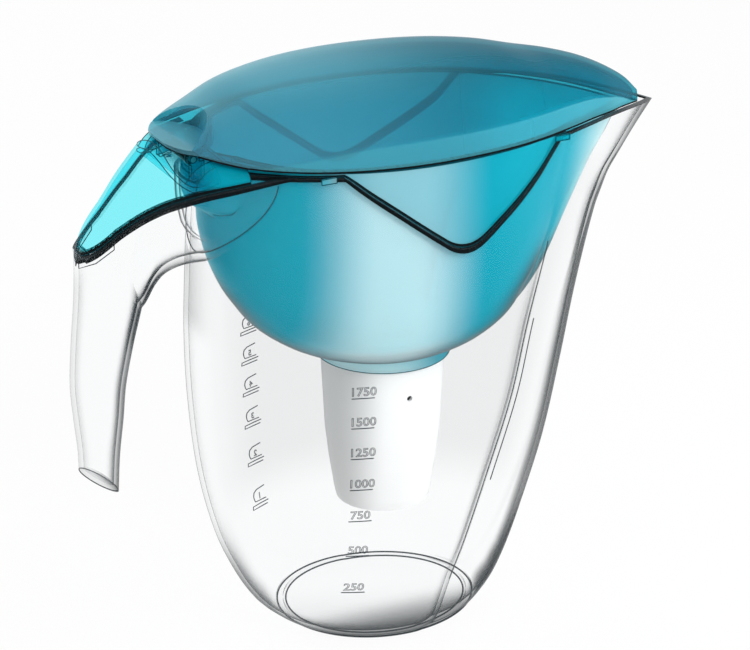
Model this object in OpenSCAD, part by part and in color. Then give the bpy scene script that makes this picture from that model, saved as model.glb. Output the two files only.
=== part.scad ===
// Water filter pitcher with a flip lid.
// Millimetres, +Z up, spout towards +X, handle towards -X.
// Origin: middle of the footprint, on the surface that the pitcher stands on.

/* [Jug] */
// Distance from the body's centre to its rear wall at the fullest height
body_rear = 91.5; // [85:0.5:98]
// Half width of the body at the fullest height
body_half_w = 69; // [64:0.5:74]
// Distance from the body's centre to the spout's tip
spout_reach = 148.5; // [140:0.5:156]
// Height of the rim at the shoulders of the side dips
rim_h = 242; // [225:1:260]
// Thickness of the moulded clear wall
jug_wall = 2.3; // [1.8:0.1:3]
// Thickness of the floor, above the foot
floor_t = 3; // [2:0.25:4.5]
// Height of the foot ring
foot_h = 1.5; // [1:0.25:2.5]
// Width of the foot ring's tread
foot_tread = 3.2; // [2:0.2:5]
// How deep each side dip of the rim is
dip_depth = 40; // [25:1:50]

/* [Handle] */
// Distance from the body's centre to the grip's back at its fullest
handle_reach = 151.5; // [146:0.5:157]
// Half width of the grip across the palm
grip_half_w = 12.3; // [11:0.1:14]
// Half depth of the grip, front to back, at its fullest
grip_half_d = 12.8; // [11.5:0.1:14]
// Height of the grip's free lower end
grip_end_h = 86; // [78:1:100]
// Wall of the hollow handle
handle_wall = 2.3; // [1.8:0.1:3]

/* [Hopper] */
// Wall of the hopper
hopper_wall = 2; // [1.6:0.1:2.6]
// Gap between the hopper and the jug
hopper_gap = 0.5; // [0.4:0.05:1]
// Height of the hopper's lowest point, the mouth of the cartridge socket
socket_z = 130; // [126:0.5:132]
// Depth of the cartridge socket
socket_h = 7; // [6:0.5:8]
// Thickness of the flange that lies on the rim
flange_t = 1.5; // [1:0.1:2]
// Distance from the body's centre to the hopper's front lip
hopper_front = 135; // [131:0.5:137]
// How far the handle cover stands above the rim behind the lid
hood_rise = 13; // [10:0.5:14]

/* [Lid] */
// How far the lid's widest edge stands inside the body's fullest side
lid_inset = 3.5; // [3:0.5:9]
// Distance from the body's centre to the lid's front tip
lid_front = 139.5; // [137:0.5:141]
// Distance from the body's centre to the lid's rear edge
lid_rear = 106; // [104:0.5:108]
// Height of the dome above the lid's edge
lid_rise = 31; // [24:0.5:36]
// Wall of the lid
lid_wall = 2.2; // [1.8:0.1:2.8]
// Radius of the thumb scoop at the lid's rear
scoop_r = 24; // [18:0.5:26]
// Radius of the hinge pin
pin_r = 1.5; // [1.2:0.1:2]
// Half length of the hinge pin
pin_half = 20; // [17:0.5:21]

/* [Cartridge] */
// Distance from the body's centre forward to the cartridge's axis
cart_x = 5; // [3:0.5:7]
// Radius of the cartridge just under its flange
cart_r = 29.5; // [27:0.25:30.5]
// Radius of the cartridge's bottom
cart_end_r = 23; // [20:0.5:25]
// Length of the cartridge below its flange
cart_len = 85.5; // [75:0.5:95]
// Wall of the cartridge
cart_wall = 1.6; // [1.2:0.1:2.2]
// Radius of the vent hole in the cartridge's side
vent_r = 1.4; // [1:0.1:2]
// How many inlet slots the cap has
slot_count = 24; // [12:1:30]

/* [Hidden] */

mid_x = 1.5;             // the body's centre stands this far in front of the footprint's middle
ring_n = 56;             // points round a section of the vessel
arch_n = 20;             // spans across a section of the handle, the cover and the lid
run_gap = 0.3;           // clearance between pieces that lift apart
pin_gap = 0.06;          // radial clearance of the hinge
face_gap = 0.05;         // air between pieces stacked in the cartridge
far = 400;               // longer than anything in the part
slop = 1;                // overrun of a cut

// ---- smooth curves through a few stations ----

// The span of the table that holds v
function span(t, v, i = 0) = (i >= len(t) - 2 || v < t[i + 1][0]) ? i : span(t, v, i + 1);

// The slope at station i of column c
function slope(t, c, i) =
    let (a = max(i - 1, 0), b = min(i + 1, len(t) - 1))
    (t[b][c] - t[a][c]) / (t[b][0] - t[a][0]);

// Column c of the table at v, as a smooth curve
function curve(t, v, c = 1) =
    let (i = span(t, v), w = t[i + 1][0] - t[i][0], u = min(max((v - t[i][0]) / w, 0), 1),
         u2 = u * u, u3 = u2 * u)
    (2 * u3 - 3 * u2 + 1) * t[i][c] + (u3 - 2 * u2 + u) * w * slope(t, c, i)
    + (3 * u2 - 2 * u3) * t[i + 1][c] + (u3 - u2) * w * slope(t, c, i + 1);

// ---- the vessel ----

// Shares of the rim's height, then of the sizes that the columns name:
// rear, nose, half width, front of the rear egg, half width of the front lobe,
// then the lobe's exponent (0.5 is an ellipse, 1 comes to a point) and the rear bay's size
body_table = [
    [0.000, 0.520, 0.335, 0.630, 0.330, 0.625, 0.50, 0.0],
    [0.021, 0.596, 0.374, 0.696, 0.306, 0.652, 0.50, 0.0],
    [0.050, 0.678, 0.418, 0.761, 0.295, 0.674, 0.50, 0.0],
    [0.107, 0.770, 0.471, 0.833, 0.328, 0.703, 0.52, 0.0],
    [0.190, 0.863, 0.529, 0.899, 0.426, 0.732, 0.55, 0.0],
    [0.318, 0.945, 0.603, 0.957, 0.568, 0.768, 0.57, 0.0],
    [0.467, 0.989, 0.663, 0.986, 0.732, 0.804, 0.60, 0.0],
    [0.616, 1.000, 0.721, 1.000, 0.842, 0.841, 0.66, 0.0],
    [0.764, 0.984, 0.795, 0.993, 0.973, 0.877, 0.76, 0.0],
    [0.800, 0.979, 0.821, 0.990, 1.000, 0.888, 0.79, 0.2],
    [0.835, 0.974, 0.850, 0.985, 1.025, 0.900, 0.83, 0.82],
    [0.872, 0.967, 0.896, 0.978, 1.049, 0.913, 0.87, 0.96],
    [0.955, 0.956, 1.000, 0.971, 1.126, 0.942, 1.00, 1.0],
    [1.060, 0.956, 1.125, 0.971, 1.200, 0.957, 1.06, 1.0]];

bay_x = -60;             // centre of the bay that the hinge end of the hopper stands in
bay_len = 36.5;          // half length of the bay
bay_half_w = 34;         // half width of the bay

// Sizes of the section at height z, drawn in by a wall t:
// [rear, nose, half width, egg front, lobe half width, exponent, bay half length, bay half width]
function body_size(z, t = 0) =
    let (h = z / rim_h, q = curve(body_table, h, 6), bay = curve(body_table, h, 7))
    [curve(body_table, h, 1) * body_rear - t,
     curve(body_table, h, 2) * spout_reach - t * (1 + 1.04 * (q - 0.5)),
     curve(body_table, h, 3) * body_half_w - t,
     curve(body_table, h, 4) * body_rear - t,
     curve(body_table, h, 5) * body_half_w - t,
     q,
     max(bay * bay_len - t, 0.01),
     max(bay * bay_half_w - t, 0.01)];

// Half width of a section of sizes s at x
function half_width(s, x) =
    let (egg = s[2] * sqrt(max(1 - pow(x / (x > 0 ? s[3] : s[0]), 2), 0)),
         lobe = x > 0 ? s[4] * pow(max(1 - pow(x / s[1], 2), 0), s[5]) : 0,
         bay = x < bay_x ? s[7] * sqrt(max(1 - pow((x - bay_x) / s[6], 2), 0)) : 0)
    max(egg, lobe, bay);

// The closed section of sizes s at height z, anticlockwise
function section(s, z) =
    let (back = s[6] > 1 ? max(s[0], s[6] - bay_x) : s[0], m = (s[1] - back) / 2, l = (s[1] + back) / 2)
    [for (k = [0 : ring_n - 1])
        let (a = 360 * k / ring_n, x = m + l * cos(a), y = half_width(s, x))
        [x, a == 0 || a == 180 ? 0 : (a < 180 ? y : -y), z]];

// A solid through a stack of rings that each have the same number of points
module loft(rings) {
    n = len(rings[0]);
    top = len(rings) - 1;
    points = [for (r = rings) each r];
    sides = [for (i = [0 : top - 1], j = [0 : n - 1])
        let (a = i * n + j, b = i * n + (j + 1) % n)
        each [[a, a + n, b + n], [a, b + n, b]]];
    caps = [[for (j = [0 : n - 1]) j], [for (j = [n - 1 : -1 : 0]) top * n + j]];
    polyhedron(points, concat(sides, caps));
}

// Heights of the rings between the foot and the rim, as shares of the rim's height
ring_levels = [0.014, 0.027, 0.044, 0.066, 0.095, 0.135, 0.185, 0.25, 0.33, 0.43, 0.55, 0.67,
               0.74, 0.775, 0.8, 0.82, 0.84, 0.865, 0.9, 0.935, 0.97, 1.01, 1.05];

// The vessel as one block, drawn in by t, from height z0 up
module vessel_block(t, z0) {
    levels = [for (h = ring_levels) if (h * rim_h > z0 + 1) h * rim_h];
    loft([for (z = concat([z0], levels)) section(body_size(z, t), z)]);
}

// ---- the rim, as a curve in the side view ----

// The jug's rim: x, then its height over rim_h
rim_table = [[-155, -48], [-149, -43.5], [-145, -38.5], [-140, -34.5], [-130, -26.2],
             [-118, -17.6], [-102, -9.4], [-86, -4.2], [-72, -1.8], [-58, -0.9], [-42, -0.4],
             [0, 0], [70, -0.6], [100, -1.4], [118, -3.6], [133, -6.8], [148.5, -10.8],
             [158, -13.5]];
// The side dip: x, then share of its depth
dip_table = [[-42, 0.0], [-31, 0.235], [-20, 0.45], [-9, 0.665], [0, 0.835], [7, 0.955],
             [14, 1.0], [21, 0.965], [32, 0.8], [46, 0.57], [59, 0.31], [66, 0.11], [70, 0.0]];
// The lid's lower edge: x, then its height over rim_h
edge_table = [[-156, 16], [-112, 12], [-106, 7.7], [-97, 7.0], [-90, 5.6], [-80, 3.9],
              [-60, 2.5], [-40, 1.9], [0, 1.6], [40, 1.2], [70, 0.6], [85, -0.4], [98, -1.8],
              [110, -3.6], [120, -5.6], [130, -8.2], [141, -11.2], [156, -15]];

function rim_z(x) = rim_h + curve(rim_table, x);
function dip(x) = (x > -42 && x < 70) ? dip_depth * curve(dip_table, x) : 0;
function lid_edge(x) = rim_h + curve(edge_table, x);

side_step = 4;           // spacing of the points on the side curves
side_back = -157.3;      // the side curves run from here, behind the handle
side_front = 155;        // to here, in front of the spout
side_xs = [for (x = [side_back : side_step : side_front + side_step / 2]) x];

// Everything under a side curve whose heights at side_xs are given
module under(heights) {
    translate([0, far / 2, 0]) rotate([90, 0, 0]) linear_extrude(far)
        polygon(concat([[side_front, -far], [side_back, -far]],
                       [for (i = [0 : len(side_xs) - 1]) [side_xs[i], heights[i]]]));
}

module under_rim(up = 0) {
    under([for (x = side_xs) rim_z(x) - dip(x) + up]);
}

module under_lid(down) {
    under([for (x = side_xs) lid_edge(x) - down]);
}

// ---- the handle ----

// The grip: share of the way from its end to its top, then how far its middle stands in
// front of the rearmost point, and its half depth and half width as shares
grip_table = [[0.00, 11.5, 0.68, 0.90], [0.15, 12.2, 0.72, 0.92], [0.30, 12.6, 0.88, 0.96],
              [0.44, 13.0, 1.00, 1.00], [0.60, 15.7, 1.12, 1.06], [0.80, 19.9, 1.27, 1.13],
              [1.00, 21.7, 1.33, 1.15], [1.12, 22.1, 1.33, 1.15]];
grip_span = 120;         // height from the grip's end to where it has become the root

// The root, where the handle opens out over the body's back:
// x, half width at the rim, height of its underside below rim_h
root_table = [[-147, 4.0, -58], [-145.5, 7.5, -62], [-142, 10.5, -66], [-137, 12.8, -71],
              [-130, 14.8, -74], [-123, 18.0, -74], [-116.5, 21.4, -69], [-113, 23.4, -62],
              [-108.5, 26.6, -56], [-102, 31.5, -52.5], [-95, 36.2, -51.3],
              [-87, 41.0, -51.3], [-79, 43.9, -51.3], [-70, 45.6, -51.3], [-56, 46.4, -51.3]];
root_front = -58;        // the root ends inside the vessel here
// The arch under the handle: height below rim_h, then the root's front end at that height
arch_table = [[-74, -119], [-66, -116.5], [-58.5, -113], [-52.7, -108.5], [-49.5, -103],
              [-48.3, -96], [-47.3, -58], [20, -58]];

// Half depth, half width and middle of the grip at height z
function grip_size(z, t) =
    let (h = (z - grip_end_h) / grip_span)
    [curve(grip_table, h, 2) * grip_half_d - t, curve(grip_table, h, 3) * grip_half_w - t,
     curve(grip_table, h, 1) - handle_reach];

// Half width of the root at x and height z
function root_half(x, z, t) =
    let (top = rim_z(x), low = rim_h + curve(root_table, x, 2) + 1.8 * t,
         d = min(max((top - z) / (top - low), 0), 1))
    (curve(root_table, x, 1) - 1.25 * t) * sqrt(1 - d * d);

// A level section of the handle, drawn in by t, at height z
function handle_ring(z, t) =
    let (g = grip_size(z, t), over = z - rim_h - 2.4 * t,
         front = z < rim_h - 74 + t ? g[2] + g[0] : max(curve(arch_table, over) - t, g[2] + g[0]),
         back = g[2] - g[0], m = (front + back) / 2, l = (front - back) / 2)
    [for (k = [0 : grip_n - 1])
        let (a = 360 * k / grip_n, x = m + l * cos(a),
             e = g[1] * sqrt(max(1 - pow((x - g[2]) / g[0], 2), 0)),
             r = x > -145 ? root_half(x, z, t) : 0,
             y = z > rim_h - 74 + t ? max(e, r) : e)
        [x, a == 0 || a == 180 ? 0 : (a < 180 ? y : -y), z]];

grip_n = 40;             // points round a section of the handle
handle_levels = [-172, -160, -146, -130, -113, -96, -82, -74, -67, -62, -58.5, -55.5,
                 -52.7, -51, -49.6, -48.5, -47.2, -44, -39, -33, -26, -18, -10, -2, 6];

module handle_block(t) {
    loft([for (d = handle_levels) handle_ring(rim_h + d, t)]);
}

end_slope = 32;          // the grip's lower end is cut at this slope

// The handle, drawn in by a wall t, ending t above the grip's sloping end
module handle(t) {
    intersection() {
        handle_block(t);
        translate([20 - handle_reach, 0, grip_end_h + t]) rotate([0, end_slope, 0])
            translate([0, 0, far / 2]) cube([far, far, far], center = true);
    }
}

module foot_block(t, z0, z1) {
    s = body_size(0, t);
    loft([section(s, z0), section(s, z1)]);
}

// The volume marks: one pair each quarter litre, given as height over the floor's underside
mark_heights = [33.8, 55, 74, 90.5, 106.5, 122, 137];
mark_x = -35.5;
mark_len = 10;
mark_r = 0.45;           // how far a mark stands out of the wall
mark_r2 = 0.8;

module volume_marks() {
    for (z = mark_heights, side = [-1, 1])
        hull() for (x = [mark_x - mark_len / 2, mark_x + mark_len / 2])
            translate([x, side * (half_width(body_size(z), x) - mark_r2 + mark_r), z])
                sphere(mark_r2, $fn = 8);
}

bay_top = -10;           // the bay's wall stops this far under rim_h, clear of the hinge

// The jug's one clear moulding
module jug_moulding() {
    difference() {
        union() {
            intersection() {
                union() {
                    vessel_block(0, foot_h);
                    handle(0);
                }
                under_rim();
            }
            foot_block(0, 0, foot_h + 0.2);
            volume_marks();
        }
        vessel_block(jug_wall, foot_h + floor_t);
        foot_block(foot_tread, -slop, foot_h);
        difference() {
            handle(handle_wall);
            vessel_block(0.4, foot_h);
        }
        translate([-111, -28, rim_h + bay_top]) cube([30, 56, 30]);
    }
}

// The jug and the hopper are one moulding each. They are split into nodes at these planes,
// so that the collision hulls of each node can follow its hollow.
root_cut = -99;          // the handle's node is behind this
cup_cut = 0.215 * rim_h; // the lower cup's node is under this

// Everything in front of x and over z
module ahead_over(x, z) {
    translate([x, -far / 2, z]) cube([far, far, far]);
}

module jug() {
    color([0.86, 0.9, 0.92, 0.35])
        translate([mid_x, 0, 0])
            intersection() {
                jug_moulding();
                ahead_over(root_cut, cup_cut);
            }
}

module jug_cup() {
    color([0.86, 0.9, 0.92, 0.35])
        translate([mid_x, 0, 0])
            difference() {
                jug_moulding();
                ahead_over(-far / 2, cup_cut);
            }
}

module jug_handle() {
    color([0.86, 0.9, 0.92, 0.35])
        translate([mid_x, 0, 0])
            difference() {
                jug_moulding();
                ahead_over(root_cut, -slop);
            }
}

// ---- the hopper ----

// Share of the way from the bowl's bottom to the rim, then sizes as shares of the jug's
// inside: rear, nose (of hopper_front), half width, egg front, lobe, exponent, bay
hopper_table = [
    [0.000, 0.34, 0.310, 0.545, 0.57, 0.37, 0.50, 0.0],
    [0.040, 0.52, 0.420, 0.687, 0.74, 0.65, 0.50, 0.0],
    [0.095, 0.638, 0.504, 0.800, 0.84, 0.78, 0.52, 0.0],
    [0.160, 0.733, 0.570, 0.884, 0.91, 0.86, 0.56, 0.0],
    [0.240, 0.808, 0.630, 0.937, 0.94, 0.91, 0.60, 0.0],
    [0.325, 0.875, 0.681, 0.967, 0.97, 0.94, 0.66, 0.0],
    [0.460, 0.946, 0.748, 0.990, 0.985, 0.98, 0.76, 0.0],
    [0.600, 0.990, 0.815, 1.000, 1.00, 1.00, 0.84, 0.0],
    [0.690, 0.998, 0.858, 1.000, 1.00, 1.00, 0.88, 0.5],
    [0.780, 1.000, 0.905, 1.000, 1.00, 1.00, 0.92, 1.0],
    [1.000, 1.000, 1.000, 1.000, 1.00, 1.00, 1.00, 1.0],
    [1.120, 1.000, 1.045, 1.000, 1.00, 1.00, 1.00, 1.0]];

bowl_z = socket_z + socket_h;
bay_gap = 3;             // the hopper's bay is this much narrower than the jug's
seal_w = 2.2;            // how far the cartridge's flange reaches out
seat_gap = 1;            // room round the flange on the hopper's floor
seat_r = cart_r + seal_w + seat_gap + hopper_wall;

function hopper_size(z, t = 0) =
    let (h = (z - bowl_z) / (rim_h - bowl_z), in = body_size(z, jug_wall + hopper_gap),
         top = body_size(rim_h, jug_wall + hopper_gap))
    [max(curve(hopper_table, h, 1) * min(in[0], top[0]), seat_r - cart_x) - t,
     curve(hopper_table, h, 2) * hopper_front - t * 1.4,
     max(curve(hopper_table, h, 3) * min(in[2], top[2]), seat_r) - t,
     curve(hopper_table, h, 4) * in[3] - t,
     curve(hopper_table, h, 5) * in[4] - t,
     curve(hopper_table, h, 6),
     max(curve(hopper_table, h, 7) * (in[6] - bay_gap / 2) - t, 0.01),
     max(curve(hopper_table, h, 7) * (in[7] - bay_gap) - t, 0.01)];

bowl_levels = [0, 0.02, 0.045, 0.08, 0.12, 0.17, 0.23, 0.3, 0.38, 0.47, 0.56, 0.62, 0.67, 0.72,
               0.78, 0.86, 0.94, 1.02, 1.1];

// The bowl as one block, drawn in by t and, where it is shallow, lifted by t
module bowl_block(t, z0) {
    levels = [for (h = bowl_levels) let (z = bowl_z + h * (rim_h - bowl_z)) if (z > z0 + 1) z];
    loft([for (z = concat([z0], levels))
        section(hopper_size(z - t * max(1 - (z - z0) / 40, 0), t), z)]);
}

flange_front = 73;       // the flange over the rim ends here, at the spout
flange_back = -100;

// The flange on the rim and the panels that fill the side dips
module flange_block() {
    difference() {
        intersection() {
            vessel_block(0, bowl_z);
            translate([flange_back, -far / 2, bowl_z])
                cube([flange_front - flange_back, far, far]);
        }
        under_rim(hopper_gap);
    }
}

// The cover over the handle: x, then its crown's rise as a share of hood_rise
hood_table = [[-147.2, 0.05], [-145.5, 0.22], [-142, 0.36], [-136, 0.50], [-130, 0.66],
              [-124, 0.86], [-118, 1.02], [-112, 1.15], [-106, 1.2], [-100, 1.12], [-94, 0.97],
              [-86, 0.75], [-80, 0.6]];
hood_lip = 1.2;          // straight edge of the cover before it rounds over

function hood_ring(x, crown, t) =
    let (w = max(curve(root_table, x, 1) - t, 0.6), base = rim_z(x) + run_gap,
         rise = max(crown * hood_rise + 2 - t, 0.5))
    concat([[x, w, base - (t > 0 ? 2 : 0)]],
           [for (k = [0 : arch_n]) let (a = 180 * k / arch_n)
               [x, w * cos(a), base + hood_lip + rise * pow(sin(a), 0.9)]],
           [[x, -w, base - (t > 0 ? 2 : 0)]]);

module hood_block(t) {
    loft([for (r = hood_table) if (t == 0 || r[0] > -146)
        hood_ring(r[0] + (r[0] < -140 ? t : 0), r[1], t)]);
}

hinge_x = 8.5 - lid_rear;    // the hinge stands this far in front of the lid's rear edge
hinge_z = rim_h + 4.5;
trough_r = 10.4;         // the lid's rear lip swings inside this radius
trough_half = 27;
ear_in = 17;             // the ears stand from here out to the pin's ends
ear_r = 2.9;

module hinge_rod(r, half) {
    translate([hinge_x, half, hinge_z]) rotate([90, 0, 0]) cylinder(r = r, h = 2 * half, $fn = 48);
}

module hinge_ears() {
    for (side = [-1, 1])
        hull() {
            translate([hinge_x, side * (ear_in + pin_half) / 2, hinge_z]) rotate([90, 0, 0])
                cylinder(r = ear_r, h = pin_half - ear_in, center = true, $fn = 32);
            translate([hinge_x + 2.5, side * (ear_in + pin_half) / 2, hinge_z - trough_r])
                cube([7, pin_half - ear_in, 1.5], center = true);
        }
}

// Lugs that locate the flange on the rim, two on each side
lug_xs = [-46.5, 72];
lug_len = 6;
lug_r = 0.9;

module rim_lugs() {
    for (x = lug_xs, side = [-1, 1])
        hull() for (dx = [-lug_len / 2, lug_len / 2])
            let (w = half_width(body_size(rim_h), x + dx))
            translate([x + dx, side * (w - 1), rim_z(x + dx) + lug_r + run_gap])
                sphere(lug_r, $fn = 12);
}

// The clip at the cover's tip and the lug behind the spout
module end_lugs() {
    for (side = [-1, 1])
        hull() for (x = [-141, -134])
            translate([x, side * (curve(root_table, x, 1) - 1.1), rim_z(x) + 1.4])
                sphere(1.0, $fn = 12);
    hull() for (z = [rim_h - 18, rim_h - 13.5], y = [-4, 4])
        translate([hopper_front - 9.5, y, z]) sphere(1.6, $fn = 12);
}

socket_wall = 2;

// The hopper's one tinted moulding: bowl, socket, side panels and handle cover
module hopper_moulding() {
    socket_r = cart_r + run_gap;
    difference() {
        union() {
            difference() {
                intersection() {
                    union() {
                        bowl_block(0, bowl_z);
                        flange_block();
                        hood_block(0);
                        rim_lugs();
                        end_lugs();
                    }
                    under_lid(0.4);
                }
                bowl_block(hopper_wall, bowl_z + hopper_wall);
                difference() {
                    hood_block(hopper_wall);
                    bowl_block(0.4, bowl_z);
                }
            }
            intersection() {
                hinge_rod(trough_r + 2, trough_half + 2);
                hood_block(0);
                under_lid(0.4);
            }
            hinge_ears();
            translate([cart_x, 0, socket_z])
                cylinder(r = socket_r + socket_wall, h = socket_h + 1, $fn = 96);
        }
        difference() {
            hinge_rod(trough_r, trough_half);
            hinge_ears();
        }
        hinge_rod(pin_r, pin_half + slop);
        translate([cart_x, 0, socket_z - slop])
            cylinder(r = socket_r, h = 2 * slop + socket_h + hopper_wall, $fn = 96);
    }
}

panel_cut = rim_h - dip_depth - 2;   // the bowl's node is under this, the panels over it

// The bowl's share of the space: under the panels and in front of the cover
module bowl_space() {
    translate([root_cut, -far / 2, panel_cut - far]) cube([far, far, far]);
}

module hopper() {
    color([0.1, 0.66, 0.76, 0.6])
        translate([mid_x, 0, 0])
            intersection() {
                hopper_moulding();
                bowl_space();
            }
}

module hopper_top() {
    color([0.1, 0.66, 0.76, 0.6])
        translate([mid_x, 0, 0])
            difference() {
                hopper_moulding();
                bowl_space();
            }
}

// ---- the lid ----

lid_half_w = body_half_w - lid_inset;

// x, half width as a share of lid_half_w, dome height as a share of lid_rise
lid_table = [[-106, 0.14, 0.10], [-105, 0.21, 0.14], [-102, 0.31, 0.20], [-97, 0.395, 0.28],
             [-90, 0.505, 0.40], [-80, 0.63, 0.56], [-65, 0.765, 0.79], [-48, 0.87, 0.92],
             [-28, 0.955, 0.985], [-5, 1.0, 1.0], [20, 0.985, 0.985], [42, 0.93, 0.94],
             [62, 0.832, 0.86], [80, 0.70, 0.75], [96, 0.55, 0.69], [110, 0.41, 0.61],
             [122, 0.255, 0.50], [132, 0.12, 0.37], [139.5, 0.02, 0.19]];

function lid_x(x) = x < 0 ? x * lid_rear / 106 : x * lid_front / 139.5;

function lid_ring(r, t) =
    let (x = lid_x(r[0]), w = max(r[1] * lid_half_w - t, 0.3), e = lid_edge(x) - (t > 0 ? 3 : 0),
         rise = max(r[2] * lid_rise - t, 0.4) + (t > 0 ? 3 : 0))
    [for (k = [0 : lid_n])
        let (a = 180 * k / lid_n, c = cos(a))
        [x, w * c, e + rise * pow(max(1 - pow(abs(c), 2.2), 0), 0.55)]];

lid_n = 26;              // spans across the dome

module dome(t) {
    rows = t > 0 ? [for (r = lid_table) if (r[0] > -105 && r[0] < 137) r] : lid_table;
    loft([for (r = rows) lid_ring([r[0], r[1], r[2]], t)]);
}

lip_t = 1.8;             // thickness of the lip at the thumb scoop's floor
scoop_x = 84 + scoop_r;

module scoop(r, z) {
    translate([-scoop_x, 0, z]) cylinder(r = r, h = far, $fn = 72);
}

module lid() {
    lip_z = lid_edge(-lid_rear);
    color([0.2, 0.5, 0.6, 0.85])
        translate([mid_x, 0, 0])
            difference() {
                union() {
                    difference() {
                        dome(0);
                        difference() {
                            dome(lid_wall);
                            scoop(scoop_r + lid_wall, 0);
                        }
                        scoop(scoop_r, lip_z + lip_t);
                        translate([-scoop_x, 0, 0])
                            cylinder(r = scoop_r + lid_wall + slop, h = lip_z, $fn = 72);
                    }
                    knuckle();
                }
                hinge_rod(pin_r + pin_gap, pin_half);
            }
}

module knuckle() {
    half = ear_in - run_gap;
    hull() {
        hinge_rod(ear_r, half);
        translate([hinge_x - ear_r, -half, lid_edge(-lid_rear)]) cube([2 * ear_r, 2 * half, 1]);
    }
}

module hinge_pin() {
    color([0.75, 0.77, 0.8])
        translate([mid_x, 0, 0]) hinge_rod(pin_r, pin_half);
}

// ---- the cartridge ----

// Share of the length below the flange, then radius: of the end, and of the top beyond it
cart_table = [[0.00, -0.13], [0.05, 0.02], [0.25, 0.42], [0.42, 0.67], [0.85, 0.96], [1.00, 1.0]];
bed_z = socket_z + socket_h + hopper_wall;   // the hopper's floor, that the seal lies on
seal_t = 1.2;
flange_z = bed_z + seal_t;
end_z = flange_z - cart_len;
collar_h = 4.5;          // the collar above the flange

// Outer radius of the cartridge at height z
function cart_radius(z) =
    cart_end_r + (cart_r - cart_end_r) * lookup((z - end_z) / cart_len, cart_table);

// A turned solid between two heights, inside the cartridge's outline by t
module cart_fill(z0, z1, t) {
    zs = concat([z0], [for (r = cart_table) let (z = end_z + r[0] * cart_len)
                       if (z > z0 + 0.01 && z < z1 - 0.01) z], [z1]);
    translate([cart_x, 0, 0])
        rotate_extrude($fn = 72)
            polygon(concat([[0, z0]], [for (z = zs) [cart_radius(z) - t, z]], [[0, z1]]));
}

module ring(r0, r1, z0, h) {
    translate([cart_x, 0, z0])
        difference() {
            cylinder(r = r1, h = h, $fn = 72);
            translate([0, 0, -slop]) cylinder(r = r0, h = h + 2 * slop, $fn = 72);
        }
}

inner_r = cart_r - cart_wall;
screen_t = 0.8;
felt_t = 2;
skirt_h = 3;             // the cap's rim inside the collar reaches this far down
outlet_n = 8;            // outlet slots in the cartridge's floor
outlet_r = 8;            // they start at this radius
plate_t = 1.6;
key_n = 3;               // lugs on the collar

top_z = flange_z + collar_h;
cap_z = top_z - plate_t;             // underside of the cap's plate
inlet_z = cap_z - skirt_h - face_gap;
floor_z = end_z + cart_wall;
outlet_z = floor_z + face_gap;
resin_z = outlet_z + screen_t + face_gap;
felt_z = resin_z + (inlet_z - resin_z) * 0.44;
carbon_z = felt_z + felt_t + face_gap;

module cartridge_body() {
    color([0.96, 0.96, 0.95])
        translate([mid_x, 0, 0])
            difference() {
                union() {
                    cart_fill(end_z, flange_z + 0.5, 0);
                    translate([cart_x, 0, flange_z])
                        cylinder(r = cart_r + seal_w, h = plate_t, $fn = 72);
                    translate([cart_x, 0, flange_z]) cylinder(r = cart_r, h = collar_h, $fn = 72);
                    for (k = [0 : key_n - 1])
                        translate([cart_x, 0, flange_z]) rotate([0, 0, 360 * k / key_n + 30])
                            translate([cart_r - 1, -3, 0]) cube([seal_w + 0.5, 6, collar_h - 1]);
                }
                cart_fill(floor_z, inlet_z, cart_wall);
                translate([cart_x, 0, inlet_z - 0.01])
                    cylinder(r = inner_r, h = far, $fn = 72);
                for (k = [0 : outlet_n - 1])
                    translate([cart_x, 0, end_z - slop]) rotate([0, 0, 360 * k / outlet_n])
                        translate([outlet_r, -1.2, 0])
                            cube([cart_end_r * 0.35, 2.4, cart_wall + 2 * slop]);
                translate([cart_x, -cart_r + 3, end_z + 0.7 * cart_len]) rotate([90, 0, 0])
                    cylinder(r = vent_r, h = cart_wall + 6, $fn = 24);
            }
}

handle_half = 15;        // half width of the cap's pull handle
handle_t = 4;
handle_top = 12;         // the pull handle stands this far above the cap

module cartridge_cap() {
    color([0.93, 0.94, 0.94])
        translate([mid_x, 0, 0])
            difference() {
                union() {
                    translate([cart_x, 0, cap_z])
                        cylinder(r = inner_r - face_gap, h = plate_t, $fn = 72);
                    ring(inner_r - 1.6, inner_r - face_gap, cap_z - skirt_h, skirt_h + 0.2);
                    translate([cart_x - handle_t / 2, 0, top_z - 0.2]) rotate([90, 0, 90])
                        linear_extrude(handle_t)
                            difference() {
                                polygon([[-handle_half, 0], [handle_half, 0],
                                         [handle_half - 3, handle_top - 3],
                                         [handle_half - 6, handle_top],
                                         [6 - handle_half, handle_top],
                                         [3 - handle_half, handle_top - 3]]);
                                translate([0, 0.8]) square([2 * handle_half - 12, 14.4],
                                                           center = true);
                            }
                }
                for (k = [0 : slot_count - 1])
                    translate([cart_x, 0, cap_z - slop]) rotate([0, 0, 360 * (k + 0.5) / slot_count])
                        translate([inner_r - 9.5, -0.7, 0]) cube([6, 1.4, plate_t + 2 * slop]);
            }
}

module cartridge_seal() {
    color([0.85, 0.87, 0.88])
        translate([mid_x, 0, 0])
            ring(cart_r + face_gap, cart_r + seal_w - 0.8, bed_z, seal_t);
}

module inlet_screen() {
    color([0.9, 0.9, 0.88])
        translate([mid_x, 0, 0]) cart_fill(inlet_z - screen_t, inlet_z, cart_wall + face_gap);
}

module carbon_bed() {
    color([0.09, 0.09, 0.1])
        translate([mid_x, 0, 0])
            cart_fill(carbon_z, inlet_z - screen_t - face_gap, cart_wall + face_gap);
}

module felt_disc() {
    color([0.88, 0.87, 0.83])
        translate([mid_x, 0, 0])
            cart_fill(felt_z + face_gap, felt_z + felt_t, cart_wall + face_gap);
}

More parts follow.
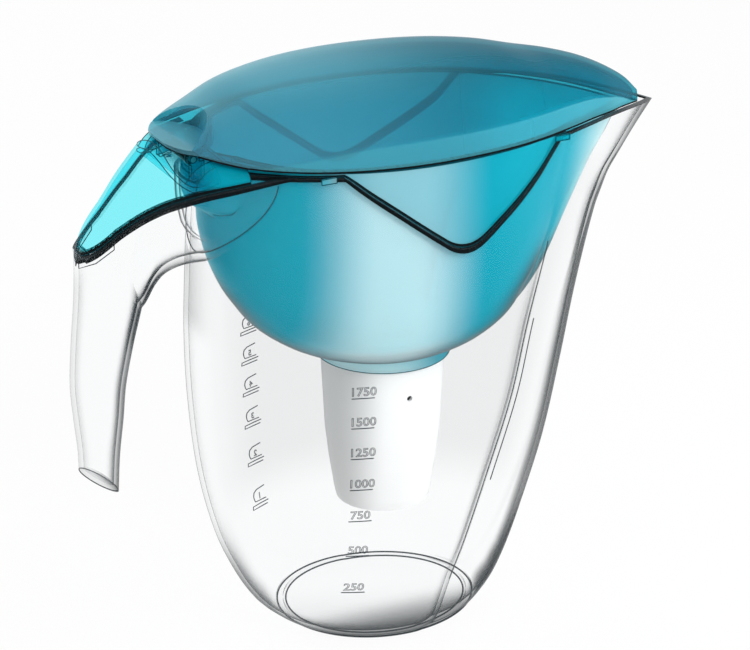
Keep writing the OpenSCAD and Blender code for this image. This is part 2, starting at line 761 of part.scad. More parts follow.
module resin_bed() {
    color([0.72, 0.56, 0.32])
        translate([mid_x, 0, 0]) cart_fill(resin_z, felt_z, cart_wall + face_gap);
}

module outlet_screen() {
    color([0.9, 0.9, 0.88])
        translate([mid_x, 0, 0])
            cart_fill(outlet_z, outlet_z + screen_t, cart_wall + face_gap);
}

jug();
jug_cup();
jug_handle();
hopper();
hopper_top();
lid();
hinge_pin();
cartridge_body();
cartridge_cap();
cartridge_seal();
inlet_screen();
carbon_bed();
felt_disc();
resin_bed();
outlet_screen();
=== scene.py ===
"""A water filter pitcher with a flip lid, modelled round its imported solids."""

import functools
import math

import bmesh
import bpy
from bpy.props import FloatProperty, FloatVectorProperty, PointerProperty
from mathutils import Matrix, Vector


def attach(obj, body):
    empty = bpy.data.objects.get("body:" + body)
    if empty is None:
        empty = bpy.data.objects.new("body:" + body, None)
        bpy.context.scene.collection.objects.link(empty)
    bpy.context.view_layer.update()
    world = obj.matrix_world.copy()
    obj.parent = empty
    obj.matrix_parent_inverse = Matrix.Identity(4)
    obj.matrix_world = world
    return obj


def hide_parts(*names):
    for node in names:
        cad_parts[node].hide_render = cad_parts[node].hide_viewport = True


bl_info = {
    "name": "Water filter pitcher",
    "version": (1, 0, 0),
    "blender": (4, 5, 0),
    "location": "View3D > Sidebar > Pitcher",
    "description": "Builds a clear filter pitcher with its hopper, flip lid and cartridge",
    "category": "Add Mesh",
}

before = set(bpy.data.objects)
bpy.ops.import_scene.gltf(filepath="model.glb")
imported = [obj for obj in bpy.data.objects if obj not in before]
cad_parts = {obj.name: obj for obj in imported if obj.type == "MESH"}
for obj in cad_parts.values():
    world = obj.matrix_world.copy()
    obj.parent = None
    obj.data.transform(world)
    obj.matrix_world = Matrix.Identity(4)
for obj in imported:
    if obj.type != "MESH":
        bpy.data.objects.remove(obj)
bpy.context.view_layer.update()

MM = 0.001
MID_X = 1.5  # the body's centre stands this far in front of the frame's origin, in mm

# Heights are in mm over the table and lengths in mm from the body's centre.
# Share of the rim's height: rear, nose, half width, egg front, lobe half width, exponent, bay
BODY = (
    (0, 0.52, 0.335, 0.63, 0.33, 0.625, 0.5, 0),
    (0.021, 0.596, 0.374, 0.696, 0.306, 0.652, 0.5, 0),
    (0.05, 0.678, 0.418, 0.761, 0.295, 0.674, 0.5, 0),
    (0.107, 0.77, 0.471, 0.833, 0.328, 0.703, 0.52, 0),
    (0.19, 0.863, 0.529, 0.899, 0.426, 0.732, 0.55, 0),
    (0.318, 0.945, 0.603, 0.957, 0.568, 0.768, 0.57, 0),
    (0.467, 0.989, 0.663, 0.986, 0.732, 0.804, 0.6, 0),
    (0.616, 1, 0.721, 1, 0.842, 0.841, 0.66, 0),
    (0.764, 0.984, 0.795, 0.993, 0.973, 0.877, 0.76, 0),
    (0.8, 0.979, 0.821, 0.99, 1, 0.888, 0.79, 0.2),
    (0.835, 0.974, 0.85, 0.985, 1.025, 0.9, 0.83, 0.82),
    (0.872, 0.967, 0.896, 0.978, 1.049, 0.913, 0.87, 0.96),
    (0.955, 0.956, 1, 0.971, 1.126, 0.942, 1, 1),
    (1.06, 0.956, 1.125, 0.971, 1.2, 0.957, 1.06, 1),
)
# The same for the hopper, as shares of the vessel's inside, from the bowl's floor to the rim
BOWL = (
    (0, 0.34, 0.31, 0.545, 0.57, 0.37, 0.5, 0),
    (0.04, 0.52, 0.42, 0.687, 0.74, 0.65, 0.5, 0),
    (0.095, 0.638, 0.504, 0.8, 0.84, 0.78, 0.52, 0),
    (0.16, 0.733, 0.57, 0.884, 0.91, 0.86, 0.56, 0),
    (0.24, 0.808, 0.63, 0.937, 0.94, 0.91, 0.6, 0),
    (0.325, 0.875, 0.681, 0.967, 0.97, 0.94, 0.66, 0),
    (0.46, 0.946, 0.748, 0.99, 0.985, 0.98, 0.76, 0),
    (0.6, 0.99, 0.815, 1, 1, 1, 0.84, 0),
    (0.69, 0.998, 0.858, 1, 1, 1, 0.88, 0.5),
    (0.78, 1, 0.905, 1, 1, 1, 0.92, 1),
    (1, 1, 1, 1, 1, 1, 1, 1),
    (1.12, 1, 1.045, 1, 1, 1, 1, 1),
)
# Along the pitcher: the jug's rim, the side dip and the lid's lower edge
RIM = (
    (-155, -48), (-149, -43.5), (-145, -38.5), (-140, -34.5), (-130, -26.2),
    (-118, -17.6), (-102, -9.4), (-86, -4.2), (-72, -1.8), (-58, -0.9), (-42, -0.4),
    (0, 0), (70, -0.6), (100, -1.4), (118, -3.6), (133, -6.8), (148.5, -10.8), (158, -13.5),
)
DIP = (
    (-42, 0), (-31, 0.235), (-20, 0.45), (-9, 0.665), (0, 0.835), (7, 0.955), (14, 1),
    (21, 0.965), (32, 0.8), (46, 0.57), (59, 0.31), (66, 0.11), (70, 0),
)
LID_EDGE = (
    (-156, 16), (-112, 12), (-106, 7.7), (-97, 7), (-90, 5.6), (-80, 3.9), (-60, 2.5),
    (-40, 1.9), (0, 1.6), (40, 1.2), (70, 0.6), (85, -0.4), (98, -1.8), (110, -3.6),
    (120, -5.6), (130, -8.2), (141, -11.2), (156, -15),
)
# The grip, from its lower end up: middle in front of the handle's back, half depth, half width
GRIP = (
    (0, 11.5, 0.68, 0.9), (0.15, 12.2, 0.72, 0.92), (0.3, 12.6, 0.88, 0.96),
    (0.44, 13, 1, 1), (0.6, 15.7, 1.12, 1.06), (0.8, 19.9, 1.27, 1.13),
    (1, 21.7, 1.33, 1.15), (1.12, 22.1, 1.33, 1.15),
)
# The handle's root: half width at the rim, underside below the rim's height
ROOT = (
    (-147, 4, -58), (-145.5, 7.5, -62), (-142, 10.5, -66), (-137, 12.8, -71),
    (-130, 14.8, -74), (-123, 18, -74), (-116.5, 21.4, -69), (-113, 23.4, -62),
    (-108.5, 26.6, -56), (-102, 31.5, -52.5), (-95, 36.2, -51.3), (-87, 41, -51.3),
    (-79, 43.9, -51.3), (-70, 45.6, -51.3), (-56, 46.4, -51.3),
)
# How far down the dark edge strips of painted shade reach on the jug's rim, and how high they
# stand on the hopper
STRIP = (
    (-156, 1.3, 0.8), (-148, 1.5, 1), (-142, 2.4, 1.4), (-120, 2.6, 1.5), (-90, 2.4, 1.3),
    (-60, 1.7, 0.7), (-43, 1.8, 0.9), (-37, 2.3, 1.4), (0, 2.4, 1.5), (66, 2.1, 1.4),
    (74, 1.1, 0.8), (158, 1, 0.5),
)
LIP = 0.45  # the clear top of the jug's rim, over its dark strip of painted shade
# How high the lid's skirt, painted paler as painted light, stands over its lower edge
SKIRT = ((-80, 0), (-60, 4), (-30, 9), (40, 10), (95, 8.5), (120, 5), (138, 0))
# The cover over the handle: crown's rise over the rim
CROWN = (
    (-145, 0.6), (-143.5, 3.6), (-140, 6.8), (-136, 8.4), (-130, 10.4), (-124, 13.2),
    (-118, 15.2), (-112, 16.9), (-106, 17.5), (-100, 16.5), (-94, 14.6), (-86, 11.7),
    (-80, 9.8),
)
# The lid: half width and height of the dome as shares
LID = (
    (-106, 0.14, 0.1), (-105, 0.21, 0.14), (-102, 0.31, 0.2), (-97, 0.395, 0.28),
    (-90, 0.505, 0.4), (-80, 0.63, 0.56), (-65, 0.765, 0.79), (-48, 0.87, 0.92),
    (-28, 0.955, 0.985), (-5, 1, 1), (20, 0.985, 0.985), (42, 0.93, 0.94),
    (62, 0.832, 0.86), (80, 0.7, 0.75), (96, 0.55, 0.69), (110, 0.41, 0.61),
    (122, 0.255, 0.5), (132, 0.12, 0.37), (139.5, 0.02, 0.19),
)
# The bay at the body's rear, towards the handle: its middle, length and half width
BAY_X, BAY_LEN, BAY_HALF = -60.0, 36.5, 34.0
GRIP_RUN, GRIP_DEEP, GRIP_WIDE = 120.0, 12.8, 12.3  # the grip's length, half depth, half width
# The grip's lower end: its height, its slope, and how far its turning point leads the back
END_Z, END_SLOPE, END_LEAD = 86.0, math.radians(32), 20
HINGE_X, HINGE_RISE = -97.5, 4.5  # the hinge pin's place, and its height over the rim
PIN, PLAY, BARREL = 1.5, 0.06, 2.9  # the pin's radius, the lid's play on it, the barrel's radius
CARTRIDGE_X = 5.0  # the cartridge's axis
# The volume marks: their heights and numbers, and where the near and the far row stand
MARKS = ((33.8, "250"), (55, "500"), (74, "750"), (90.5, "1000"), (106.5, "1250"),
         (122, "1500"), (137, "1750"))
NEAR_MARKS, FAR_MARKS = -36.1, -35.5
# A far mark: a cup, and the double line under it
CUP = ((3.4, 7.7), (-1.6, 7.0), (-3.4, 5.9), (-3.9, 4.2), (-3.6, 2.6), (-3.0, 1.5), (3.8, 1.5))
UNDERLINE = ((5.0, 0.2), (0.0, 0.0), (-5.0, -0.2), (-5.2, -1.7), (0.0, -1.6), (4.4, -1.4))
SLANT = (0.896, 0.444)  # the direction, along and across, in which the nose is seen side on
# How many spans a section has along the nose, each side and the rear, and points round the grip
NOSE_SPANS, SIDE_SPANS, REAR_SPANS, RING = 26, 44, 16, 112
KEEL = 0.65  # 0.5 would round the root's underside, and more makes it a keel
# Lamps: place, size and power
LAMPS = {
    "key": ((0.2, -1.5, 1.2), (0.9, 0.9), 18.0),
    "side": ((1.3, -0.5, 0.9), (0.5, 1.4), 7.0),
    "back": ((-0.3, 1.4, 1.2), (1.6, 0.8), 8.0),
}
LIT_AT = Vector((0, 0, 0.13))
# Camera: focal length in mm, turn and tilt in degrees, the point it looks at in mm, distance in m
LENS, TURN, TILT, LOOK_AT, AWAY = 154.2, -26.4, 23.1, (2.63, 0, 141.6), 1.5042


# ---- sizes and colours ----


def length(name, default, words, low, high):
    return FloatProperty(name=name, description=words, default=default, min=low, max=high)


def colour(name, default, words):
    return FloatVectorProperty(name=name, description=words, default=default, size=3,
                               subtype="COLOR", min=0.0, max=1.0)


class JugSizes(bpy.types.PropertyGroup):
    rear: length("Rear", 91.5, "Body's centre to its rear wall, mm", 80, 100)
    nose: length("Spout reach", 148.2, "Body's centre to the spout's tip, mm", 130, 160)
    half: length("Half width", 68.9, "Half width of the body, mm", 60, 75)
    rim: length("Rim height", 242.0, "Height of the rim, mm", 220, 260)
    wall: length("Wall", 2.3, "Moulded wall, mm", 1.5, 4)
    floor: length("Floor", 3.0, "Floor over the foot, mm", 2, 5)
    foot: length("Foot height", 1.5, "Height of the foot ring, mm", 1, 3)
    dip: length("Dip", 40.0, "Depth of the side dips, mm", 20, 50)
    reach: length("Handle reach", 151.25, "Body's centre to the grip's back, mm", 140, 160)
    tint: colour("Clear plastic", (0.992, 0.995, 0.996), "What one clear wall lets through")
    # edge: a dark colour of painted shade, which the clear plastic shows towards its limb and on
    # its cut edges
    edge: colour("Cut edge", (0.035, 0.045, 0.05), "Colour that a clear wall's edge shows")


class HopperSizes(bpy.types.PropertyGroup):
    wall: length("Wall", 2.0, "Wall of the hopper, mm", 1, 3)
    gap: length("Gap", 0.5, "Gap between the hopper and the jug, mm", 0.3, 1)
    socket: length("Socket height", 130.0, "Height of the socket's mouth, mm", 120, 135)
    deep: length("Socket depth", 7.0, "Depth of the socket, mm", 5, 9)
    front: length("Front lip", 135.0, "Body's centre to the hopper's lip, mm", 125, 138)
    body: colour("Hopper", (0.0, 0.42, 0.55), "Colour of the hopper's plastic")
    pale: colour("Pale hopper", (0.8, 0.97, 1.0), "Colour of the bowl's middle, where it is lit")
    glow: colour("Hopper light", (0.5, 0.95, 0.985), "What one hopper wall lets through")


class LidSizes(bpy.types.PropertyGroup):
    half: length("Half width", 65.5, "Half width of the lid, mm", 55, 68)
    rise: length("Rise", 30.9, "Height of the dome, mm", 20, 40)
    wall: length("Wall", 2.2, "Wall of the lid, mm", 1.5, 3)
    scoop: length("Scoop", 24.0, "Radius of the thumb scoop, mm", 15, 28)
    body: colour("Lid", (0.0, 0.13, 0.19), "Colour of the lid's plastic")
    pale: colour("Lid's rear", (0.13, 0.46, 0.56), "Colour of the lid where it is lit")
    glow: colour("Lid light", (0.2, 0.78, 0.87), "What one lid wall lets through")


class CartridgeSizes(bpy.types.PropertyGroup):
    radius: length("Radius", 29.5, "Radius under the flange, mm", 25, 32)
    white: colour("White", (0.93, 0.935, 0.935), "Colour of the cartridge's plastic")


# ---- shape of the pitcher ----


def curve(table, v, col=1):
    """Column col of a table at v, as a smooth curve through its stations."""
    last = len(table) - 1
    i = 0
    while i < last - 1 and v >= table[i + 1][0]:
        i += 1

    def slope(k):
        a, b = table[max(k - 1, 0)], table[min(k + 1, last)]
        return (b[col] - a[col]) / (b[0] - a[0])

    w = table[i + 1][0] - table[i][0]
    u = min(max((v - table[i][0]) / w, 0.0), 1.0)
    u2, u3 = u * u, u * u * u
    return ((2 * u3 - 3 * u2 + 1) * table[i][col] + (u3 - 2 * u2 + u) * w * slope(i)
            + (3 * u2 - 2 * u3) * table[i + 1][col] + (u3 - u2) * w * slope(i + 1))


def spread(low, high, step):
    """Even stations from low to high, at most a step apart."""
    n = max(int(math.ceil((high - low) / step)), 1)
    return [low + (high - low) * i / n for i in range(n + 1)]


class Shape:
    """The pitcher's outlines, from the sizes that the panel shows."""

    def __init__(self, scene):
        self.jug, self.hopper = scene.pitcher_jug, scene.pitcher_hopper
        self.lid = scene.pitcher_lid

    def body(self, z, t=0.0):
        """Sizes of the vessel's section at height z, drawn in by t."""
        j, h = self.jug, z / self.jug.rim
        q, bay = curve(BODY, h, 6), curve(BODY, h, 7)
        return (curve(BODY, h, 1) * j.rear - t,
                curve(BODY, h, 2) * j.nose - t * (1 + 1.04 * (q - 0.5)),
                curve(BODY, h, 3) * j.half - t,
                curve(BODY, h, 4) * j.rear - t,
                curve(BODY, h, 5) * j.half - t,
                q,
                max(bay * BAY_LEN - t, 0.01),
                max(bay * BAY_HALF - t, 0.01))

    def floor_z(self):
        return self.hopper.socket + self.hopper.deep

    def bowl(self, z, t=0.0):
        """Sizes of the hopper's section at height z, drawn in by t."""
        base = self.floor_z()
        h = (z - base) / (self.jug.rim - base)
        drawn = self.jug.wall + self.hopper.gap
        inside, top, bay = self.body(z, drawn), self.body(self.jug.rim, drawn), curve(BOWL, h, 7)
        return (curve(BOWL, h, 1) * min(inside[0], top[0]) - t,
                curve(BOWL, h, 2) * self.hopper.front - t * 1.4,
                curve(BOWL, h, 3) * min(inside[2], top[2]) - t,
                curve(BOWL, h, 4) * inside[3] - t,
                curve(BOWL, h, 5) * inside[4] - t,
                curve(BOWL, h, 6),
                max(bay * (inside[6] - 1.5) - t, 0.01),
                max(bay * (inside[7] - 3.0) - t, 0.01))

    def rim(self, x):
        return self.jug.rim + curve(RIM, x)

    def top(self, x):
        """The jug's upper edge, which dips at the sides."""
        dip = self.jug.dip * curve(DIP, x) if DIP[0][0] < x < DIP[-1][0] else 0.0
        return self.rim(x) - dip

    def lid_edge(self, x):
        return self.jug.rim + curve(LID_EDGE, x)

    def grip(self, z, t=0.0):
        """Half depth, half width and middle of the grip at height z."""
        h = (z - END_Z) / GRIP_RUN
        return (curve(GRIP, h, 2) * GRIP_DEEP - t, curve(GRIP, h, 3) * GRIP_WIDE - t,
                curve(GRIP, h, 1) - self.jug.reach)

    def outline(self, x):
        """Half width of the handle at the rim."""
        a, b, mid = self.grip(225.0)
        grip = b * math.sqrt(max(1 - ((x - mid) / a) ** 2, 0.0))
        return max(grip, curve(ROOT, x, 1) if x > -131 else 0.0)

    def hinge(self):
        return HINGE_X, self.jug.rim + HINGE_RISE


def egg(s, x):
    return s[2] * math.sqrt(max(1 - (x / (s[3] if x > 0 else s[0])) ** 2, 0.0))


def lobe(s, x):
    return s[4] * max(1 - (x / s[1]) ** 2, 0.0) ** s[5] if x > 0 else 0.0


def bay(s, x):
    return s[7] * math.sqrt(max(1 - ((x - BAY_X) / s[6]) ** 2, 0.0)) if x < BAY_X else 0.0


def half_width(s, x):
    return max(egg(s, x), lobe(s, x), bay(s, x))


def root_half(shape, x, z, t):
    """Half width of the handle's root at x and height z, drawn in by t."""
    top, low = shape.rim(x), shape.jug.rim + curve(ROOT, x, 2) + 1.8 * t
    d = min(max((top - z) / (top - low), 0.0), 1.0)
    return (curve(ROOT, x) - 1.25 * t) * (1 - d * d) ** KEEL


def crossing(f, low, high):
    """Where f, positive at low and negative at high, changes sign."""
    for _ in range(36):
        mid = (low + high) / 2
        if f(mid) > 0:
            low = mid
        else:
            high = mid
    return (low + high) / 2


def fold_x(s):
    """Where the spout's lobe leaves the egg."""
    return crossing(lambda x: egg(s, x) - lobe(s, x), 0.0, min(s[3], s[1]) * 0.9999)


def slant_reach(s):
    """How far a section reaches towards the slanting direction."""
    return max(SLANT[0] * (x + MID_X) + SLANT[1] * half_width(s, x)
               for x in spread(s[1] * 0.3, s[1], 0.25))


def section(s, z):
    """A level section, with a point on each crease, anticlockwise from the nose."""
    fold = fold_x(s)
    has_bay = s[6] > 1 and s[6] - BAY_X > s[0] * 1.002
    if has_bay:
        corner = crossing(lambda x: bay(s, x) - egg(s, x), -s[0], BAY_X)
    else:
        corner = -0.97 * s[0]
    xs = [fold + (s[1] - fold) * math.cos(math.pi / 2 * i / NOSE_SPANS)
          for i in range(NOSE_SPANS)]
    start = math.acos(min(fold / s[3], 1.0))
    stop = math.acos(max(corner / s[0], -1.0))
    for i in range(SIDE_SPANS):
        c = math.cos(start + (stop - start) * i / SIDE_SPANS)
        xs.append(c * (s[3] if c > 0 else s[0]))
    if has_bay:
        a = math.acos(max(min((corner - BAY_X) / s[6], 1.0), -1.0))
        xs += [BAY_X + s[6] * math.cos(a + (math.pi - a) * i / REAR_SPANS)
               for i in range(REAR_SPANS + 1)]
    else:
        xs += [s[0] * math.cos(stop + (math.pi - stop) * i / REAR_SPANS)
               for i in range(REAR_SPANS + 1)]
    side = [(x, half_width(s, x), z) for x in xs[1:-1]]
    return ([(xs[0], 0.0, z)] + side + [(xs[-1], 0.0, z)]
            + [(x, -y, h) for x, y, h in reversed(side)])


# ---- mesh tools ----


def skin(rings):
    """A closed solid through rings that have the same number of points each."""
    rows, cols = len(rings), len(rings[0])
    bm = bmesh.new()
    bmesh.ops.create_grid(bm, x_segments=cols, y_segments=rows - 1, size=1)
    bm.verts.ensure_lookup_table()
    for i, v in enumerate(bm.verts):
        row, col = divmod(i, cols + 1)
        v.co = Vector(rings[row][col % cols])
    bmesh.ops.remove_doubles(bm, verts=bm.verts[:], dist=0.002)
    bmesh.ops.holes_fill(bm, edges=[e for e in bm.edges if e.is_boundary], sides=0)
    bmesh.ops.recalc_face_normals(bm, faces=bm.faces[:])
    return bm


def slab(points, half):
    """The solid under a side profile of (x, z) points, across the whole width."""
    bm = bmesh.new()
    face = bm.faces.new([bm.verts.new((x, half, z)) for x, z in points])
    made = bmesh.ops.extrude_face_region(bm, geom=[face])
    bmesh.ops.translate(bm, verts=[v for v in made["geom"] if isinstance(v, bmesh.types.BMVert)],
                        vec=(0, -2 * half, 0))
    bmesh.ops.recalc_face_normals(bm, faces=bm.faces[:])
    return bm


def under(line, up=0.0):
    """Everything under a side curve."""
    rear, front, deep = -157.3, 155.0, -400.0
    return slab([(front, deep), (rear, deep)]
                + [(x, line(x) + up) for x in spread(rear, front, 1.5)], 200.0)


def drum(radius, low, high, centre, sides=128, axis="Z"):
    """A cylinder between two positions along an axis."""
    bm = bmesh.new()
    bmesh.ops.create_cone(bm, cap_ends=True, segments=sides, radius1=radius, radius2=radius,
                          depth=high - low)
    bmesh.ops.translate(bm, verts=bm.verts[:], vec=(0, 0, (low + high) / 2))
    move = (*centre, 0)
    if axis == "Y":
        bmesh.ops.rotate(bm, verts=bm.verts[:], matrix=Matrix.Rotation(-math.pi / 2, 3, "X"))
        move = (centre[0], 0, centre[1])
    bmesh.ops.translate(bm, verts=bm.verts[:], vec=move)
    return bm


def block(corner, opposite):
    """A box between two opposite corners."""
    bm = bmesh.new()
    bmesh.ops.create_cube(bm, size=1)
    low, high = Vector(map(min, corner, opposite)), Vector(map(max, corner, opposite))
    bmesh.ops.scale(bm, verts=bm.verts[:], vec=high - low)
    bmesh.ops.translate(bm, verts=bm.verts[:], vec=(low + high) / 2)
    return bm


def placed(data, name="draft"):
    """An object in the scene, with this mesh, curve, lamp or camera."""
    obj = bpy.data.objects.new(name, data)
    bpy.context.scene.collection.objects.link(obj)
    return obj


def evaluated(obj):
    """A mesh of the object as its modifiers leave it."""
    bpy.context.view_layer.update()
    deps = bpy.context.evaluated_depsgraph_get()
    return bpy.data.meshes.new_from_object(obj.evaluated_get(deps))


def draft(bm, *materials, finish=0):
    """A working object from a bmesh, all its faces in one material slot."""
    mesh = bpy.data.meshes.new("draft")
    for m in materials:
        mesh.materials.append(m)
    for f in bm.faces:
        f.material_index = finish
        f.smooth = True
    bm.to_mesh(mesh)
    bm.free()
    return placed(mesh)


def carve(obj, other, how):
    """Joins other to obj, keeps what they share, or cuts it away."""
    cut = obj.modifiers.new("cut", "BOOLEAN")
    cut.operation, cut.object, cut.solver = how, other, "MANIFOLD"
    cut.material_mode = "TRANSFER"
    mesh = evaluated(obj)
    obj.modifiers.clear()
    obj.data = mesh
    bpy.data.objects.remove(other)
    return obj


class Moulding:
    """A solid in the making, with one plastic on its faces and, on its cut edges, a darker finish
    of painted shade.
    """

    def __init__(self, solid, pair):
        self.pair = pair
        self.obj = self.drafted(solid, 0)

    def drafted(self, solid, finish):
        if isinstance(solid, bmesh.types.BMesh):
            return draft(solid, *self.pair, finish=finish)
        return solid.obj if isinstance(solid, Moulding) else solid

    def carved(self, how, solids, finish):
        for solid in solids:
            carve(self.obj, self.drafted(solid, finish), how)
        return self

    def add(self, *solids):
        return self.carved("UNION", solids, 0)

    def cut(self, *solids, finish=0):
        return self.carved("DIFFERENCE", solids, finish)

    def clip(self, *solids, finish=0):
        """Keeps only what lies inside the solids."""
        return self.carved("INTERSECT", solids, finish)

    def copy(self):
        return Moulding(placed(self.obj.data.copy()), self.pair)

    def split(self, solid):
        """Keeps what lies inside a solid, and gives back the rest."""
        part = Moulding(solid, self.pair)
        rest = self.copy().cut(part.copy())
        self.clip(part)
        return rest


def coat(moulding, material):
    """The moulding's object, in one material."""
    mesh = moulding.obj.data
    mesh.materials.clear()
    mesh.materials.append(material)
    mesh.polygons.foreach_set("material_index", [0] * len(mesh.polygons))
    return moulding.obj


def meshed(data, material):
    """A working object from curve or text data, with its seams merged."""
    obj = placed(data)
    bm = bmesh.new()
    bm.from_mesh(evaluated(obj))
    bpy.data.objects.remove(obj)
    bmesh.ops.remove_doubles(bm, verts=bm.verts[:], dist=0.0005)
    bmesh.ops.recalc_face_normals(bm, faces=bm.faces[:])
    return draft(bm, material)


def beads(lines, radius, material):
    """Round beads along open or closed lines of points, each (points, closed)."""
    path = bpy.data.curves.new("beads", "CURVE")
    path.dimensions, path.bevel_depth, path.bevel_resolution = "3D", radius, 2
    path.use_fill_caps = True
    for points, closed in lines:
        spline = path.splines.new("POLY")
        spline.points.add(len(points) - 1)
        for point, co in zip(spline.points, points):
            point.co = (*co, 1)
        spline.use_cyclic_u = closed
    return meshed(path, material)


def creases(obj, angle, radius, material):
    """Fine beads along the sharp edges of an object, where a moulding shows a dark line: painted
    shade.
    """
    shortest = 6.0

    def where(item):
        return sorted(tuple(round(c, 3) for c in v.co) for v in getattr(item, "verts", [item]))

    bm = bmesh.new()
    bm.from_mesh(obj.data)
    bmesh.ops.dissolve_degenerate(bm, dist=0.05, edges=bm.edges[:])
    sharp = [e for e in bm.edges if e.is_manifold and e.calc_face_angle() > math.radians(angle)]
    sharp = dict.fromkeys(sorted(sharp, key=where))  # by place, to be the same each run
    lines = []
    while sharp:
        first = next(iter(sharp))
        del sharp[first]
        chain = sorted(first.verts, key=where)
        for _ in range(2):
            while True:
                onward = sorted((e for e in chain[-1].link_edges if e in sharp), key=where)
                if len(onward) != 1 and not (onward and len(chain) == 2):
                    break
                del sharp[onward[0]]
                chain.append(onward[0].other_vert(chain[-1]))
            chain.reverse()
        closed = chain[0] is chain[-1]
        points = [chain[0].co.copy()]
        for v in chain[1:]:
            if (v.co - points[-1]).length > 0.5:
                points.append(v.co.copy())
        if closed and len(points) > 3:
            points.pop()
        run = sum((b - a).length for a, b in zip(points, points[1:]))
        if run > shortest and len(points) > 3:
            lines.append((points, closed))
    bm.free()
    return beads(lines, radius, material)


def joined(objs):
    """Puts working objects of one material into one mesh."""
    bm = bmesh.new()
    for obj in objs:
        bm.from_mesh(obj.data)
    material = objs[0].data.materials[0]
    for obj in objs:
        bpy.data.objects.remove(obj)
    bmesh.ops.recalc_face_normals(bm, faces=bm.faces[:])
    return draft(bm, material)


def settle(obj, name, body, nodes=(), angle=32):
    """Names a finished piece, brings it from mm into the frame and joins it to its body."""
    obj.name = obj.data.name = name
    obj.data.transform(Matrix.Translation((MID_X * MM, 0, 0)) @ Matrix.Scale(MM, 4))
    for p in obj.data.polygons:
        p.use_smooth = True
    obj.data.set_sharp_from_angle(angle=math.radians(angle))
    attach(obj, body)
    if nodes:
        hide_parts(*nodes)
    return obj


# ---- solids and lines ----


def vessel(shape, t, z0, top):
    """The vessel as one solid, drawn in by t."""
    levels = [z0 + d for d in (0, 0.6, 1.6, 3, 5, 7.5, 10.5)] + spread(z0 + 13.5, top, 2.6)
    rings = []
    for i, z in enumerate(levels):
        tuck = (1.4, 0.5, 0.1)[i] if i < 3 else 0.0
        rings.append(section(shape.body(z, t + tuck), z))
    return skin(rings)


def bowl(shape, t, z0, top):
    """The hopper's bowl as one solid, drawn in by t and lifted where it is shallow."""
    levels = [z0 + d for d in (0, 0.5, 1.2, 2.2, 3.4, 5, 7, 9.5)] + spread(z0 + 12, top, 2.4)
    return skin([section(shape.bowl(z - t * max(1 - (z - z0) / 40, 0), t), z) for z in levels])


def grip_ring(shape, z, t):
    """A level section of the grip at height z, drawn in by t."""
    a, b, mid = shape.grip(z, t)
    return [(mid + a * math.cos(k), 0.0 if i in (0, RING // 2) else b * math.sin(k), z)
            for i, k in ((i, 2 * math.pi * i / RING) for i in range(RING))]


def root(shape, t):
    """The handle's root as one solid, drawn in by t."""
    rings = []
    for x in spread(-144.8 + t, -56.0, 1.1):
        top, low = shape.rim(x), shape.jug.rim + curve(ROOT, x, 2) + 1.8 * t
        side = [(x, max(root_half(shape, x, z, t), 0.0), z)
                for z in (top - (top - low) * math.sin(math.pi / 2 * i / 36) for i in range(36))]
        side = [(x, side[0][1], shape.jug.rim + 7)] + side
        rings.append(side + [(x, 0.0, low)] + [(x, -y, z) for _, y, z in reversed(side)])
    return skin(rings)


def handle(shape, t):
    """The hollow handle, drawn in by t and cut at its sloping lower end."""
    rim = shape.jug.rim
    grip = skin([grip_ring(shape, z, t) for z in spread(rim - 172, rim + 6, 2.2)])
    solid = Moulding(grip, clear_pair()).add(root(shape, t))
    end = block((-400, -200, 0), (400, 200, 400))
    bmesh.ops.rotate(end, verts=end.verts[:], matrix=Matrix.Rotation(END_SLOPE, 3, "Y"))
    bmesh.ops.translate(end, verts=end.verts[:], vec=(END_LEAD - shape.jug.reach, 0, END_Z + t))
    return solid.clip(end)


def cover(shape, t):
    """The cover over the handle, drawn in by t."""
    rings = []
    for x in spread(CROWN[0][0] + t, -80.0, 1.5):
        w = max(shape.outline(x) - 1.5 - t, 0.5)
        rise = max(curve(CROWN, x) - t, 0.3)
        base = shape.rim(x) + 0.3 - (2 if t else 0)
        edge = shape.rim(x) + 1.5
        rings.append([(x, w, base)]
                     + [(x, w * math.cos(k), edge + rise * max(math.sin(k), 0.0) ** 0.9)
                        for k in (math.pi * i / 48 for i in range(49))]
                     + [(x, -w, base)])
    return skin(rings)


def dome(shape, t):
    """The lid's dome as one solid, drawn in by t."""
    rings = []
    low, high = (-104.5, 137.0) if t else (-106.0, 139.5)
    for x in spread(low, high, 1.8):
        w = max(curve(LID, x, 1) * shape.lid.half - t, 0.3)
        edge = shape.lid_edge(x) - (3 if t else 0)
        rise = max(curve(LID, x, 2) * shape.lid.rise - t, 0.4) + (3 if t else 0)
        ring = []
        for i in range(65):
            c = math.cos(math.pi * i / 64)
            s = abs(c)
            g = (1 - s ** 2.2) ** 0.55 if s < 0.93 else (1 - 0.93 ** 2.2) ** 0.55 * (1 - s) / 0.07
            ring.append((x, w * c, edge + rise * g))
        rings.append(ring)
    return skin(rings)


